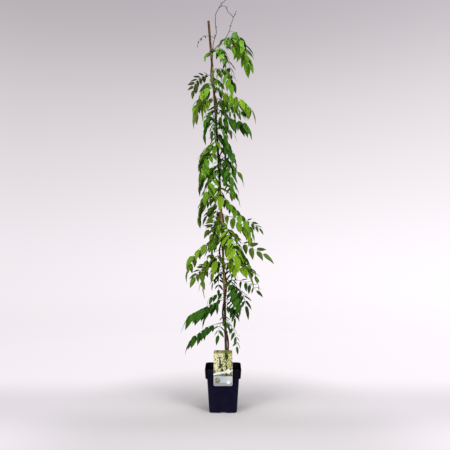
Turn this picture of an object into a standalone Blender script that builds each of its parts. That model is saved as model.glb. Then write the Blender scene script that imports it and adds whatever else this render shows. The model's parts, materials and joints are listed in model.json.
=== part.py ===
"""A young wisteria trained up a bamboo cane in a square nursery pot, with its picture label.

Metres, +Z up. The origin is the middle of the pot's underside. -Y is the side that the label hangs on.
"""

import math
import random
from collections import namedtuple

import bmesh
import bpy
import numpy as np
from mathutils import Matrix, Vector
from mathutils.bvhtree import BVHTree

# Pot: half widths are measured square across the outside of the wall
POT_HEIGHT = 0.205
RIM_HALF = 0.086
COLLAR_LOW_HALF = 0.0833
LIP = 0.004
BODY_TOP_HALF = 0.0754
BASE_HALF = 0.0655
COLLAR_HEIGHT = 0.043
COLLAR_STEP = 0.003
RIM_CORNER = 0.021
BASE_CORNER = 0.015
WALL = 0.0022
CORNER_STEPS = 4
SOIL_CORNER_STEPS = 3

# Drainage: four raised channels run in from the middle of each side to a hole
CHANNEL_WIDTH = 0.031
CHANNEL_HEIGHT = 0.0052
CHANNEL_INNER = 0.034
CHANNEL_WALL = 0.0022
DRAIN_RADIUS = 0.0045
DRAIN_DEPTH = 0.012
DRAIN_FROM_MIDDLE = 0.042

# Soil
SOIL_LEVEL = 0.170
SOIL_BUMP = 0.0022
FIT_GAP = 0.0004
SOIL_FOOT = 0.009
SOIL_CHAMFER = 0.003
PLUMB_ABOVE = 0.005
HOLE_GAP = 0.0014

# Cane: it leans to -X and bows a little, so its centre is a parabola in z
CANE_RADIUS = 0.0062
CANE_TOP_RADIUS = 0.0059
CANE_FOOT = 0.080
CANE_LENGTH = 1.800
CANE_BASE_X = 0.018
CANE_LEAN = 0.010
CANE_BOW = 0.020
CANE_JOINTS = (0.17, 0.33, 0.50, 0.68, 0.87, 1.07, 1.27, 1.47, 1.66)

# Woody stem: it twines anticlockwise up the cane
STEM_FOOT = 0.105
STEM_TOP = 1.745
STEM_FOOT_RADIUS = 0.0048
STEM_TOP_RADIUS = 0.0023
STEM_TAPER = 0.8
TWINE_PITCH = 0.2875
TWINE_START = 0.600
STEM_CANE_GAP = 0.0010
LOOSE_LOOP = (0.775, 0.045, 0.0080)
SOIL_SPREAD = 0.0075
GRAFT = (0.405, 0.011, 0.40)
STEM_STEPS = 56

# Soft ties round the cane and the stem
TIE_HEIGHTS = (0.368, 0.868, 1.252, 1.728)
TIE_HEIGHT = 0.005
TIE_GAP = 0.0011
TIE_WALL = 0.0011

# Label: a printed card that hangs in front of the collar
CARD_WIDTH = 0.088
CARD_LOW, CARD_HIGH = 0.133, 0.297
CARD_THICK = 0.0008
CARD_CORNER = 0.006
CARD_FRONT = -0.0895
CARD_LEAN = 0.0125
STRAP_LOW, STRAP_HIGH = 0.1860, 0.2049
STRAP_DEPTH = 0.0075
STRAP_THICK = 0.0008
HOOK_WIDTH = 0.012
HOOK_REACH = 0.014
HOOK_SLACK = 0.0030
BUTTON_RADIUS = 0.0110
BUTTON_THICK = 0.0030
BUTTON_X = 0.0245

# Leaves: a rachis with leaflets in pairs and one at the end
RACHIS_HALF = 0.0012
RACHIS_THICK = 0.0020
BLADE_THICK = 0.0008
NECK = 0.0032
BLADE_WIDTH = 0.50
BLADE_SECTIONS = (0.30, 0.66)
WIDEST, TAPER = 0.55, 1.10
ROOT_CLEAR = 0.0012
SWING_END = 0.22
CANE_SHADE = 80.0
SPREAD_FOOT, SPREAD_TIP = 68.0, 48.0
BLADE_CURL = 0.10
TILT, TILT_SPREAD = -26.0, 4.0
PATH_STEPS = 40
CLEARANCE = 0.0004
MOVES = sorted(
    ((turn, lift) for lift in range(-18, 19, 6) for turn in range(-28, 29, 4)),
    key=lambda move: (move[0] ** 2 + move[1] ** 2, move),
)

# on: what the leaf grows from; z: the height of its root; turn: 0 is +X, 90 is +Y, -90 is -Y.
# rise and fall: the slope of the rachis where it starts and where it ends. bend under 1 falls early.
# bare: the share of the rachis before its first leaflets.
# hang: 0 leaves the leaflets in the plane of the rachis, 1 hangs them straight down.
Leaf = namedtuple("Leaf", "name on z turn rise fall reach pairs blade hang tone roll bend bare")


def leaf(name, on, z, turn, rise, fall, reach, pairs, blade, hang, tone, roll=0.0, bend=1.0, bare=0.17):
    return Leaf(name, on, z, turn, rise, fall, reach, pairs, blade, hang, tone, roll, bend, bare)


LEAVES = (
    leaf("leaf_01", "shoot_right", 1.826, -14, 30, -90, 0.186, 5, 0.082, 0.42, "young", roll=58, bend=0.3, bare=0.1),
    leaf("leaf_02", "shoot_right", 1.772, -62, 30, -76, 0.130, 4, 0.058, 0.50, "fresh"),
    leaf("leaf_03", "stem", 1.738, -34, 20, -92, 0.120, 4, 0.050, 0.44, "fresh", bend=0.7),
    leaf("leaf_04", "shoot_right", 1.757, 48, -22, -78, 0.200, 5, 0.064, 0.40, "dark", bare=0.05),
    leaf("leaf_05", "stem", 1.716, -140, 16, -50, 0.036, 1, 0.050, 0.35, "fresh"),
    leaf("leaf_06", "stem", 1.636, -44, 10, -76, 0.184, 5, 0.072, 0.55, "fresh"),
    leaf("leaf_07", "stem", 1.612, 172, 14, -92, 0.122, 6, 0.044, 0.05, "young", roll=45, bare=0.10),
    leaf("leaf_08", "stem", 1.534, 3, 2, -54, 0.208, 6, 0.070, 0.76, "young", bare=0.22),
    leaf("leaf_09", "stem", 1.556, 184, -28, -90, 0.172, 5, 0.074, 0.36, "young", roll=30, bare=0.10),
    leaf("leaf_10", "stem", 1.568, -74, -4, -76, 0.090, 2, 0.066, 0.45, "fresh"),
    leaf("leaf_11", "stem", 1.494, -30, -6, -42, 0.130, 4, 0.046, 0.70, "fresh"),
    leaf("leaf_12", "stem", 1.466, 120, 10, -62, 0.130, 4, 0.054, 0.30, "dark", bare=0.10),
    leaf("leaf_13", "stem", 1.408, 8, 4, -34, 0.152, 6, 0.084, 0.56, "dark", bare=0.05),
    leaf("leaf_14", "stem", 1.398, -98, -12, -78, 0.100, 4, 0.050, 0.40, "dark"),
    leaf("leaf_15", "stem", 1.345, -10, -36, -72, 0.168, 5, 0.076, 0.42, "dark"),
    leaf("leaf_16", "stem", 1.290, 152, -15, -86, 0.130, 5, 0.060, 0.40, "fresh", roll=20),
    leaf("leaf_17", "stem", 1.272, 62, 8, -66, 0.185, 5, 0.064, 0.50, "dark"),
    leaf("leaf_18", "stem", 1.246, -136, -16, -80, 0.150, 5, 0.070, 0.40, "fresh"),
    leaf("leaf_19", "stem", 1.222, -56, -6, -74, 0.160, 5, 0.076, 0.42, "dark"),
    leaf("leaf_20", "stem", 1.200, 36, -6, -50, 0.145, 4, 0.056, 0.30, "fresh", roll=40),
    leaf("leaf_21", "stem", 1.178, 150, 8, -76, 0.165, 5, 0.062, 0.45, "fresh"),
    leaf("leaf_22", "stem", 1.148, 62, -8, -58, 0.170, 5, 0.060, 0.35, "fresh"),
    leaf("leaf_23", "stem", 1.126, -120, 2, -74, 0.150, 5, 0.074, 0.42, "fresh"),
    leaf("leaf_24", "stem", 1.090, 164, -30, -86, 0.200, 6, 0.060, 0.36, "fresh"),
    leaf("leaf_25", "stem", 1.062, -78, 10, -80, 0.070, 2, 0.092, 0.45, "young"),
    leaf("leaf_26", "stem", 1.052, 6, -38, -50, 0.255, 7, 0.060, 0.42, "fresh", roll=24, bare=0.08),
    leaf("leaf_27", "stem", 0.974, 152, -60, -86, 0.135, 5, 0.056, 0.10, "young", roll=60),
    leaf("leaf_28", "stem", 0.936, -2, 2, -66, 0.205, 6, 0.062, 0.66, "young", bare=0.06),
    leaf("leaf_29", "stem", 0.888, 218, -46, -84, 0.140, 6, 0.050, 0.12, "fresh", roll=62),
    leaf("leaf_30", "stem", 0.852, -64, 0, -80, 0.170, 5, 0.080, 0.26, "young"),
    leaf("leaf_31", "stem", 0.838, -6, -22, -30, 0.206, 3, 0.070, 0.08, "young", roll=-52, bare=0.50),
    leaf("leaf_32", "stem", 0.818, 166, 2, -74, 0.240, 5, 0.070, 0.46, "young", roll=16),
    leaf("leaf_33", "stem", 0.806, 26, 4, -54, 0.170, 5, 0.070, 0.45, "dark"),
    leaf("leaf_34", "stem", 0.762, 188, -6, -102, 0.206, 5, 0.066, 0.26, "young", roll=44, bend=0.6),
    leaf("leaf_35", "stem", 0.752, -108, -10, -80, 0.052, 1, 0.086, 0.40, "young", bare=0.5),
    leaf("leaf_36", "stem", 0.722, -22, -8, -34, 0.150, 3, 0.086, 0.24, "young", bare=0.3),
    leaf("leaf_37", "stem", 0.690, 68, 4, -76, 0.190, 5, 0.062, 0.30, "dark"),
    leaf("leaf_38", "stem", 0.678, 108, -4, -76, 0.170, 5, 0.044, 0.20, "dark"),
    leaf("leaf_39", "stem", 0.626, -50, -16, -78, 0.150, 5, 0.064, 0.32, "fresh"),
    leaf("leaf_40", "stem", 0.596, 18, 10, -74, 0.166, 5, 0.064, 0.30, "dark", roll=-30),
    leaf("leaf_41", "stem", 0.526, 190, -18, -31, 0.186, 7, 0.082, 0.54, "dark"),
    leaf("leaf_42", "stem", 0.530, 68, -10, -72, 0.112, 5, 0.056, 0.32, "dark"),
    leaf("leaf_43", "stem", 0.414, 178, -10, -52, 0.188, 6, 0.064, 0.56, "dark", bare=0.24),
    leaf("leaf_44", "stem", 0.420, -20, -30, -94, 0.142, 5, 0.044, 0.14, "dark", roll=24),
    leaf("leaf_45", "stem", 0.414, -112, 4, -84, 0.085, 3, 0.046, 0.25, "dark"),
    leaf("leaf_46", "shoot_left", 1.800, 162, 34, -90, 0.110, 3, 0.017, 0.30, "young", bend=1.3, bare=0.42),
    leaf("leaf_47", "stem", 0.768, 6, -6, -80, 0.270, 6, 0.040, 0.14, "fresh", bend=1.1),
)

# The two thin shoots above the tie, and the fork that winds back from one to the other
SHOOT_LEFT = (
    (-0.0500, 0.0010, 1.7465), (-0.0480, 0.0020, 1.770), (-0.0406, 0.0040, 1.799), (-0.0335, 0.0050, 1.823),
    (-0.0357, 0.0030, 1.852), (-0.0386, -0.0020, 1.886), (-0.0343, -0.0060, 1.915), (-0.0236, -0.0070, 1.935),
    (-0.0163, -0.0060, 1.949), (-0.0066, -0.0020, 1.964), (0.0104, 0.0040, 1.983), (0.0240, 0.0100, 2.003),
    (0.0310, 0.0140, 2.022), (0.0300, 0.0170, 2.034),
)
SHOOT_RIGHT = (
    (-0.0462, 0.0020, 1.7400), (-0.0284, 0.0040, 1.757), (-0.0114, 0.0020, 1.773), (0.0104, 0.0000, 1.794),
    (0.0250, -0.0040, 1.818), (0.0323, -0.0050, 1.837), (0.0396, -0.0030, 1.866), (0.0508, 0.0020, 1.898),
    (0.0590, 0.0060, 1.920), (0.0654, 0.0100, 1.935),
)
SHOOT_FORK = (
    (0.0508, 0.0020, 1.898), (0.0372, 0.0060, 1.914), (0.0226, 0.0080, 1.930), (0.0168, 0.0070, 1.944),
    (0.0080, 0.0090, 1.956), (-0.0050, 0.0110, 1.957), (-0.0120, 0.0080, 1.952),
)
SHOOT_RADIUS = 0.0018
SHOOT_TIP_RADIUS = 0.0011
SHOOT_STEPS = 2
# Buds on the shoots: how far along the route each one sits, from 0 to 1, its turn and its length
LEFT_BUDS = (
    (0.18, 200, 0.013), (0.30, -20, 0.010), (0.58, 0, 0.016), (0.70, 170, 0.012), (0.86, 20, 0.012),
)
RIGHT_BUDS = ((0.30, 200, 0.010), (0.62, 160, 0.010), (0.84, 10, 0.011))
FORK_BUDS = ((0.45, -90, 0.020), (0.80, -160, 0.012))
BUD_RADIUS = 0.0013

# Colours (linear), roughness and metallic of each material
MATERIALS = {
    "pot_plastic": ((0.011, 0.011, 0.026), 0.42),
    "soil": ((0.018, 0.013, 0.009), 0.95),
    "cane": ((0.42, 0.27, 0.12), 0.55),
    "bark": ((0.085, 0.050, 0.030), 0.80),
    "shoot": ((0.050, 0.055, 0.030), 0.60),
    "tie": ((0.010, 0.012, 0.011), 0.50),
    "label_print": ((0.62, 0.60, 0.36), 0.35),
    "label_clip": ((0.85, 0.86, 0.85), 0.40),
    "leaf_young": ((0.125, 0.270, 0.022), 0.45),
    "leaf_fresh": ((0.060, 0.190, 0.014), 0.42),
    "leaf_dark": ((0.014, 0.085, 0.012), 0.40),
}


def clear_scene():
    for obj in list(bpy.data.objects):
        bpy.data.objects.remove(obj)


def new_collection(name):
    collection = bpy.data.collections.new(name)
    bpy.context.scene.collection.children.link(collection)
    return collection


def material(name):
    found = bpy.data.materials.get(name)
    if found:
        return found
    color, roughness = MATERIALS[name]
    made = bpy.data.materials.new(name)
    made.use_nodes = True
    shader = made.node_tree.nodes["Principled BSDF"]
    shader.inputs["Base Color"].default_value = (*color, 1.0)
    shader.inputs["Roughness"].default_value = roughness
    shader.inputs["Metallic"].default_value = 0.0
    made.diffuse_color = (*color, 1.0)
    return made


def add_object(name, data, collection, slot=None):
    obj = bpy.data.objects.new(name, data)
    collection.objects.link(obj)
    if slot:
        data.materials.append(material(slot))
    return obj


def mesh_object(name, bm, collection, slot=None, smooth_angle=None):
    mesh = bpy.data.meshes.new(name)
    bm.to_mesh(mesh)
    bm.free()
    if smooth_angle is not None:
        mesh.shade_smooth()
        mesh.set_sharp_from_angle(angle=math.radians(smooth_angle))
    return add_object(name, mesh, collection, slot)


def boolean(obj, operation, collection):
    modifier = obj.modifiers.new(operation.title(), "BOOLEAN")
    modifier.operation = operation
    modifier.operand_type = "COLLECTION"
    modifier.collection = collection
    modifier.solver = "EXACT"
    return modifier


def applied(obj):
    """Replace obj's mesh by the one its modifiers make."""
    bpy.context.view_layer.update()
    graph = bpy.context.evaluated_depsgraph_get()
    mesh = bpy.data.meshes.new_from_object(obj.evaluated_get(graph))
    obj.modifiers.clear()
    obj.data = mesh
    return obj


def discard(collection):
    for obj in list(collection.objects):
        bpy.data.objects.remove(obj)
    bpy.data.collections.remove(collection)


# Paths


def cane_radius(z):
    share = (z - CANE_FOOT) / CANE_LENGTH
    return CANE_RADIUS + (CANE_TOP_RADIUS - CANE_RADIUS) * share


def cane_center(z):
    return Vector((CANE_BASE_X - CANE_LEAN * z - CANE_BOW * z * z, 0.0, z))


def bell(z, middle, width):
    return math.exp(-(((z - middle) / width) ** 2))


def stem_radius(z):
    share = (z - STEM_FOOT) / (STEM_TOP - STEM_FOOT)
    plain = STEM_FOOT_RADIUS + (STEM_TOP_RADIUS - STEM_FOOT_RADIUS) * max(0.0, share) ** STEM_TAPER
    middle, width, swell = GRAFT
    return plain * (1 + swell * bell(z, middle, width))


def stem_center(z):
    """The stem's centre: a helix round the cane, with one loose loop, that stands plumb in the soil."""
    z = float(z)
    level = max(z, SOIL_LEVEL + PLUMB_ABOVE)
    middle, width, slack = LOOSE_LOOP
    reach = cane_radius(level) + stem_radius(level) + STEM_CANE_GAP + slack * bell(level, middle, width)
    reach += SOIL_SPREAD * bell(level, SOIL_LEVEL, 0.07)
    phase = math.tau * (level - TWINE_START) / TWINE_PITCH
    spot = cane_center(level) + reach * Vector((math.cos(phase), math.sin(phase), 0.0))
    spot.z = z
    return spot


def smooth_route(route, steps):
    """Points along a smooth curve through the route's own points (Catmull-Rom)."""
    spots = [Vector(p) for p in route]
    spots = [2 * spots[0] - spots[1], *spots, 2 * spots[-1] - spots[-2]]
    points = []
    for a, b, c, d in zip(spots, spots[1:], spots[2:], spots[3:]):
        for i in range(steps):
            t = i / steps
            points.append(0.5 * (2 * b + (c - a) * t + (2 * a - 5 * b + 4 * c - d) * t**2
                                 + (3 * b - a - 3 * c + d) * t**3))
    return points + [spots[-2]]


def tube(name, points, radii, collection, slot=None, resolution=1):
    """A POLY curve with a round bevel whose radius changes from point to point."""
    curve = bpy.data.curves.new(name, "CURVE")
    curve.dimensions = "3D"
    curve.bevel_depth = 1.0
    curve.bevel_resolution = resolution
    curve.use_fill_caps = True
    spline = curve.splines.new("POLY")
    spline.points.add(len(points) - 1)
    for point, spot, radius in zip(spline.points, points, radii):
        point.co = (*spot, 1.0)
        point.radius = radius
    return add_object(name, curve, collection, slot)


def tube_mesh(name, points, radii, collection, slot=None, resolution=1):
    """The same tube as a closed mesh, for a Boolean."""
    guide = tube(name + "_guide", points, radii, collection, slot, resolution)
    bpy.context.view_layer.update()
    graph = bpy.context.evaluated_depsgraph_get()
    mesh = bpy.data.meshes.new_from_object(guide.evaluated_get(graph))
    bm = bmesh.new()
    bm.from_mesh(mesh)
    bmesh.ops.remove_doubles(bm, verts=bm.verts, dist=1e-6)
    bmesh.ops.recalc_face_normals(bm, faces=bm.faces)
    bm.to_mesh(mesh)
    bm.free()
    made = bpy.data.objects.new(name, mesh)
    made.matrix_world = guide.matrix_world
    collection.objects.link(made)
    bpy.data.objects.remove(guide)
    return made


# Pot and soil


def rounded_square(half, corner, z, steps=CORNER_STEPS):
    """A ring of points round a square with rounded corners."""
    ring = []
    for quarter in range(4):
        middle = math.pi / 4 + quarter * math.pi / 2
        centre = Vector((math.copysign(half - corner, math.cos(middle)),
                         math.copysign(half - corner, math.sin(middle)), z))
        for step in range(steps + 1):
            angle = quarter * math.pi / 2 + step * math.pi / 2 / steps
            ring.append(centre + corner * Vector((math.cos(angle), math.sin(angle), 0.0)))
    return ring


def pot_profile():
    """(half width, corner radius, height) up the outside of the pot."""
    collar_low = POT_HEIGHT - COLLAR_HEIGHT
    body_corner = BASE_CORNER + (RIM_CORNER - BASE_CORNER) * 0.6
    return (
        (BASE_HALF - 0.0012, BASE_CORNER, 0.0),
        (BASE_HALF, BASE_CORNER, 0.0018),
        (BODY_TOP_HALF, body_corner, collar_low - COLLAR_STEP),
        (COLLAR_LOW_HALF, RIM_CORNER, collar_low),
        (RIM_HALF, RIM_CORNER, POT_HEIGHT - LIP),
        (RIM_HALF, RIM_CORNER, POT_HEIGHT),
    )


def pot_inside(z):
    """Half width and corner radius of the pot's cavity at height z, less the gap that the soil keeps."""
    profile = pot_profile()
    half = np.interp(z, [p[2] for p in profile], [p[0] for p in profile])
    corner = np.interp(z, [p[2] for p in profile], [p[1] for p in profile])
    return float(half) - WALL - FIT_GAP, float(corner) - WALL


def loft(bm, rings, cap_low=True, cap_high=False):
    """Skin a stack of rings of equal length."""
    loops = [[bm.verts.new(p) for p in ring] for ring in rings]
    count = len(loops[0])
    for low, high in zip(loops, loops[1:]):
        for i in range(count):
            j = (i + 1) % count
            bm.faces.new((low[i], low[j], high[j], high[i]))
    if cap_low:
        bm.faces.new(reversed(loops[0]))
    if cap_high:
        bm.faces.new(loops[-1])
    return loops


def block(name, size, centre, collection, turn=0.0):
    """A box of this size, its centre turned about Z with it."""
    bm = bmesh.new()
    bmesh.ops.create_cube(bm, size=1.0, matrix=Matrix.LocRotScale(Vector(centre), None, Vector(size)))
    bmesh.ops.rotate(bm, verts=bm.verts, cent=(0, 0, 0), matrix=Matrix.Rotation(turn, 3, "Z"))
    return mesh_object(name, bm, collection)


def channel_blocks(name, collection, grow=0.0):
    """The raised roofs over the four drainage channels, or those grown by a clearance."""
    outer = BASE_HALF - WALL / 2
    inner = CHANNEL_INNER - CHANNEL_WALL - grow
    width = CHANNEL_WIDTH + 2 * CHANNEL_WALL + 2 * grow
    high = CHANNEL_HEIGHT + CHANNEL_WALL + grow
    low = WALL / 2
    for side in range(4):
        centre = ((outer + inner) / 2, 0.0, (low + high) / 2)
        block(f"{name}_{side}", (outer - inner, width, high - low), centre, collection, side * math.pi / 2)


def pot(collection):
    bm = bmesh.new()
    loft(bm, [rounded_square(*ring) for ring in pot_profile()])
    body = mesh_object("pot", bm, collection, "pot_plastic", smooth_angle=35)
    shell = body.modifiers.new("Wall", "SOLIDIFY")
    shell.thickness = WALL
    shell.offset = -1.0
    shell.use_even_offset = True

    roofs = new_collection("channel_roofs")
    channel_blocks("channel_roof", roofs)
    boolean(body, "UNION", roofs)
    applied(body)
    discard(roofs)

    cutters = new_collection("pot_cutters")
    for side in range(4):
        turn = side * math.pi / 2
        reach = BASE_HALF + 0.01 - CHANNEL_INNER
        centre = (CHANNEL_INNER + reach / 2, 0.0, CHANNEL_HEIGHT / 2 - 0.005)
        block(f"channel_{side}", (reach, CHANNEL_WIDTH, CHANNEL_HEIGHT + 0.01), centre, cutters, turn)
    boolean(body, "DIFFERENCE", cutters)
    applied(body)
    discard(cutters)

    drills = new_collection("drain_cutters")
    for side in range(4):
        bm = bmesh.new()
        bmesh.ops.create_cone(bm, cap_ends=True, segments=12, depth=DRAIN_DEPTH,
                              radius1=DRAIN_RADIUS, radius2=DRAIN_RADIUS,
                              matrix=Matrix.Translation((DRAIN_FROM_MIDDLE, 0.0, CHANNEL_HEIGHT)))
        quarter_turns = Matrix.Rotation(side * math.pi / 2, 3, "Z")
        bmesh.ops.rotate(bm, verts=bm.verts, cent=(0, 0, 0), matrix=quarter_turns)
        mesh_object(f"drain_{side}", bm, drills)
    boolean(body, "DIFFERENCE", drills)
    applied(body)
    discard(drills)
    return body


def soil_height(x, y):
    wave = math.sin(74 * x + 1.3) * math.cos(91 * y - 0.6) + 0.6 * math.sin(163 * x - 140 * y)
    return SOIL_LEVEL + SOIL_BUMP * wave / 1.6


def soil(collection):
    step = POT_HEIGHT - COLLAR_HEIGHT
    low_edge = SOIL_LEVEL - 1.5 * SOIL_BUMP
    inside = [
        (WALL + FIT_GAP, *pot_inside(SOIL_FOOT)),
        (SOIL_FOOT, *pot_inside(SOIL_FOOT)),
        (step - COLLAR_STEP + WALL, *pot_inside(step - COLLAR_STEP)),
        (step + 0.004, *pot_inside(step + 0.004)),
        (low_edge, *pot_inside(low_edge)),
    ]
    inside[0] = (inside[0][0], inside[0][1] - SOIL_CHAMFER, inside[0][2])
    rings = [rounded_square(half, corner, z, SOIL_CORNER_STEPS) for z, half, corner in inside]
    edge, corner = pot_inside(low_edge)
    for share in (0.985, 0.80, 0.55, 0.28):
        ring = rounded_square(edge * share, corner * share, SOIL_LEVEL, SOIL_CORNER_STEPS)
        for point in ring:
            point.z = soil_height(point.x, point.y)
        rings.append(ring)
    bm = bmesh.new()
    loops = loft(bm, rings)
    top = bm.verts.new((0.0, 0.0, soil_height(0.0, 0.0)))
    last = loops[-1]
    for i, low in enumerate(last):
        bm.faces.new((low, last[(i + 1) % len(last)], top))
    body = mesh_object("soil", bm, collection, "soil", smooth_angle=60)

    cutters = new_collection("soil_cutters")
    channel_blocks("channel_room", cutters, grow=FIT_GAP)
    clear_top = SOIL_LEVEL + 0.02
    cane_z = np.linspace(CANE_FOOT - FIT_GAP, clear_top, 4)
    cane_line = [cane_center(z) for z in cane_z]
    tube_mesh("cane_hole", cane_line, [CANE_RADIUS + HOLE_GAP] * 4, cutters, resolution=4)
    stem_z = np.linspace(STEM_FOOT - FIT_GAP, clear_top, 6)
    tube_mesh("stem_hole", [stem_center(z) for z in stem_z], [stem_radius(z) + HOLE_GAP for z in stem_z],
              cutters, resolution=4)
    boolean(body, "DIFFERENCE", cutters)
    applied(body)
    discard(cutters)
    return body


# Cane, stem, shoots and ties


def cane(collection):
    heights = [(CANE_FOOT, 1.0), (CANE_FOOT + CANE_LENGTH, 1.0)]
    for joint in CANE_JOINTS:
        heights += [(joint - 0.004, 1.0), (joint, 1.16), (joint + 0.005, 0.98)]
    heights.sort()
    points = [cane_center(z) for z, _ in heights]
    radii = [cane_radius(z) * swell / 1.16 * 1.10 for z, swell in heights]
    return tube("cane", points, radii, collection, "cane", resolution=2)


def stem(collection):
    extra = [GRAFT[0] + step * GRAFT[1] for step in (-1, -0.5, 0, 0.5, 1)]
    heights = sorted([*np.linspace(STEM_FOOT, STEM_TOP, STEM_STEPS), SOIL_LEVEL + PLUMB_ABOVE, *extra])
    middle = [stem_center(z) for z in heights]
    return tube("stem", middle, [stem_radius(z) for z in heights], collection, "bark")


def along(points, share):
    """The point that is this share of the way along a list of points."""
    spot = share * (len(points) - 1)
    i = min(int(spot), len(points) - 2)
    return points[i].lerp(points[i + 1], spot - i)


def bud(name, points, share, turn, length, collection):
    """A pointed bud that starts inside the shoot and leans up and out from it."""
    foot = along(points, share)
    out = Vector((math.cos(math.radians(turn)), math.sin(math.radians(turn)), 0.45)).normalized()
    spots = [foot + out * (length * s) for s in (0.0, 0.35, 0.75, 1.0)]
    radii = [BUD_RADIUS * r for r in (0.6, 1.0, 0.75, 0.25)]
    return tube_mesh(name, spots, radii, collection, resolution=0)


def joined_shoot(name, branches, collection):
    """One closed body from a shoot, its forks and its buds."""
    others = new_collection(name + "_parts")
    body = None
    for number, (route, buds, steps) in enumerate(branches):
        points = smooth_route(route, steps)
        radii = np.linspace(SHOOT_RADIUS, SHOOT_TIP_RADIUS, len(points))
        if body is None:
            body = tube_mesh(name, points, radii, collection, resolution=0)
        else:
            tube_mesh(f"{name}_fork_{number}", points, radii * 0.8, others, resolution=0)
        for spot, (share, turn, length) in enumerate(buds):
            bud(f"{name}_bud_{number}_{spot}", points, share, turn, length, others)
    body.data.materials.clear()
    body.data.materials.append(material("shoot"))
    boolean(body, "UNION", others)
    applied(body)
    discard(others)
    return body


def band_outline(ends, radii, steps=5):
    """The outline of a band pulled round two circles: their outer tangents and the arcs between them."""
    (a, b), (ra, rb) = ends, radii
    line = b - a
    heading = math.atan2(line.y, line.x)
    open_angle = math.acos((ra - rb) / line.length)
    outline = []
    for centre, radius, start, sweep in (
        (b, rb, heading - open_angle, 2 * open_angle),
        (a, ra, heading + open_angle, math.tau - 2 * open_angle),
    ):
        for step in range(steps + 1):
            angle = start + sweep * step / steps
            outline.append((centre.x + radius * math.cos(angle), centre.y + radius * math.sin(angle)))
    return outline


def tie(number, z, collection):
    curve = bpy.data.curves.new(f"tie_{number}", "CURVE")
    curve.dimensions = "2D"
    curve.fill_mode = "BOTH"
    curve.extrude = TIE_HEIGHT / 2
    ends = (cane_center(z), stem_center(z))
    for wall in (TIE_GAP, TIE_GAP + TIE_WALL):
        outline = band_outline(ends, (cane_radius(z) + wall, stem_radius(z) + wall))
        spline = curve.splines.new("POLY")
        spline.points.add(len(outline) - 1)
        spline.use_cyclic_u = True
        for point, (x, y) in zip(spline.points, outline):
            point.co = (x, y, 0.0, 1.0)
    obj = add_object(f"tie_{number}", curve, collection, "tie")
    obj.location.z = z
    return obj


# Label


def card_depth(z):
    """How far the card's face lies along Y at height z: it bends back above the rim."""
    above = max(0.0, (z - POT_HEIGHT) / (CARD_HIGH - POT_HEIGHT))
    return CARD_FRONT + CARD_LEAN * above**1.6


def card(collection):
    """The card is lofted up from its bottom edge, row by row, so both its faces split alike."""
    half = CARD_WIDTH / 2
    rows = []
    for share in (0.0, 0.3, 1.0):
        angle = math.pi / 2 * share
        inset = CARD_CORNER * (1 - math.sin(angle))
        rows.append((CARD_LOW + CARD_CORNER * (1 - math.cos(angle)), half - inset))
    for z in np.linspace(CARD_LOW + 0.03, CARD_HIGH - CARD_CORNER, 7):
        rows.append((z, half))
    for share in (0.7, 0.0):
        angle = math.pi / 2 * share
        inset = CARD_CORNER * (1 - math.sin(angle))
        rows.append((CARD_HIGH - CARD_CORNER * (1 - math.cos(angle)), half - inset))
    bm = bmesh.new()
    loops = [[bm.verts.new((x * width, card_depth(z), z)) for x in (-1, 0, 1)] for z, width in rows]
    for low, high in zip(loops, loops[1:]):
        for i in (0, 1):
            bm.faces.new((low[i], low[i + 1], high[i + 1], high[i]))
    bmesh.ops.triangulate(bm, faces=bm.faces)
    obj = mesh_object("label_card", bm, collection, "label_print", smooth_angle=40)
    sheet = obj.modifiers.new("Thickness", "SOLIDIFY")
    sheet.thickness = CARD_THICK
    sheet.offset = -1.0
    return obj


def strap(collection):
    """A white band round the card, with a hook behind it that sits over the pot's rim."""
    front = CARD_FRONT - FIT_GAP - STRAP_THICK
    back = CARD_FRONT + CARD_THICK + FIT_GAP + STRAP_THICK
    half = CARD_WIDTH / 2 + FIT_GAP + STRAP_THICK
    corners = ((-half, front), (half, front), (half, back), (-half, back))
    slope = (STRAP_HIGH - STRAP_LOW) / (2 * half)
    bm = bmesh.new()
    loops = []
    for level in (-STRAP_DEPTH / 2, STRAP_DEPTH / 2):
        for inset in (0.0, STRAP_THICK):
            ring = []
            for x, y in corners:
                x -= math.copysign(inset, x)
                y += inset if y == front else -inset
                z = (STRAP_LOW + STRAP_HIGH) / 2 + slope * x + level
                ring.append(bm.verts.new((x, y, z)))
            loops.append(ring)
    low_out, low_in, high_out, high_in = loops
    for first, second in ((low_out, high_out), (high_out, high_in), (high_in, low_in), (low_in, low_out)):
        for i in range(4):
            j = (i + 1) % 4
            bm.faces.new((first[i], first[j], second[j], second[i]))
    bmesh.ops.triangulate(bm, faces=bm.faces)
    body = mesh_object("label_strap", bm, collection, "label_clip")

    hooks = new_collection("hook_parts")
    outer_leg = back - STRAP_THICK
    top = POT_HEIGHT + FIT_GAP
    inner_leg = -RIM_HALF + WALL + HOOK_SLACK
    low = (STRAP_LOW + STRAP_HIGH) / 2 - STRAP_DEPTH / 2 + 0.001
    outline = (
        (outer_leg, low), (outer_leg, top + STRAP_THICK), (inner_leg + STRAP_THICK, top + STRAP_THICK),
        (inner_leg + STRAP_THICK, top - HOOK_REACH), (inner_leg, top - HOOK_REACH), (inner_leg, top),
        (back + 0.0002, top), (back + 0.0002, low),
    )
    bm = bmesh.new()
    face = bm.faces.new([bm.verts.new((-HOOK_WIDTH / 2, y, z)) for y, z in outline])
    swept = bmesh.ops.extrude_face_region(bm, geom=[face])["geom"]
    swept_points = [g for g in swept if isinstance(g, bmesh.types.BMVert)]
    bmesh.ops.translate(bm, verts=swept_points, vec=(HOOK_WIDTH, 0, 0))
    bmesh.ops.recalc_face_normals(bm, faces=bm.faces)
    mesh_object("hook", bm, hooks)
    boolean(body, "UNION", hooks)
    applied(body)
    discard(hooks)
    return body


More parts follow.
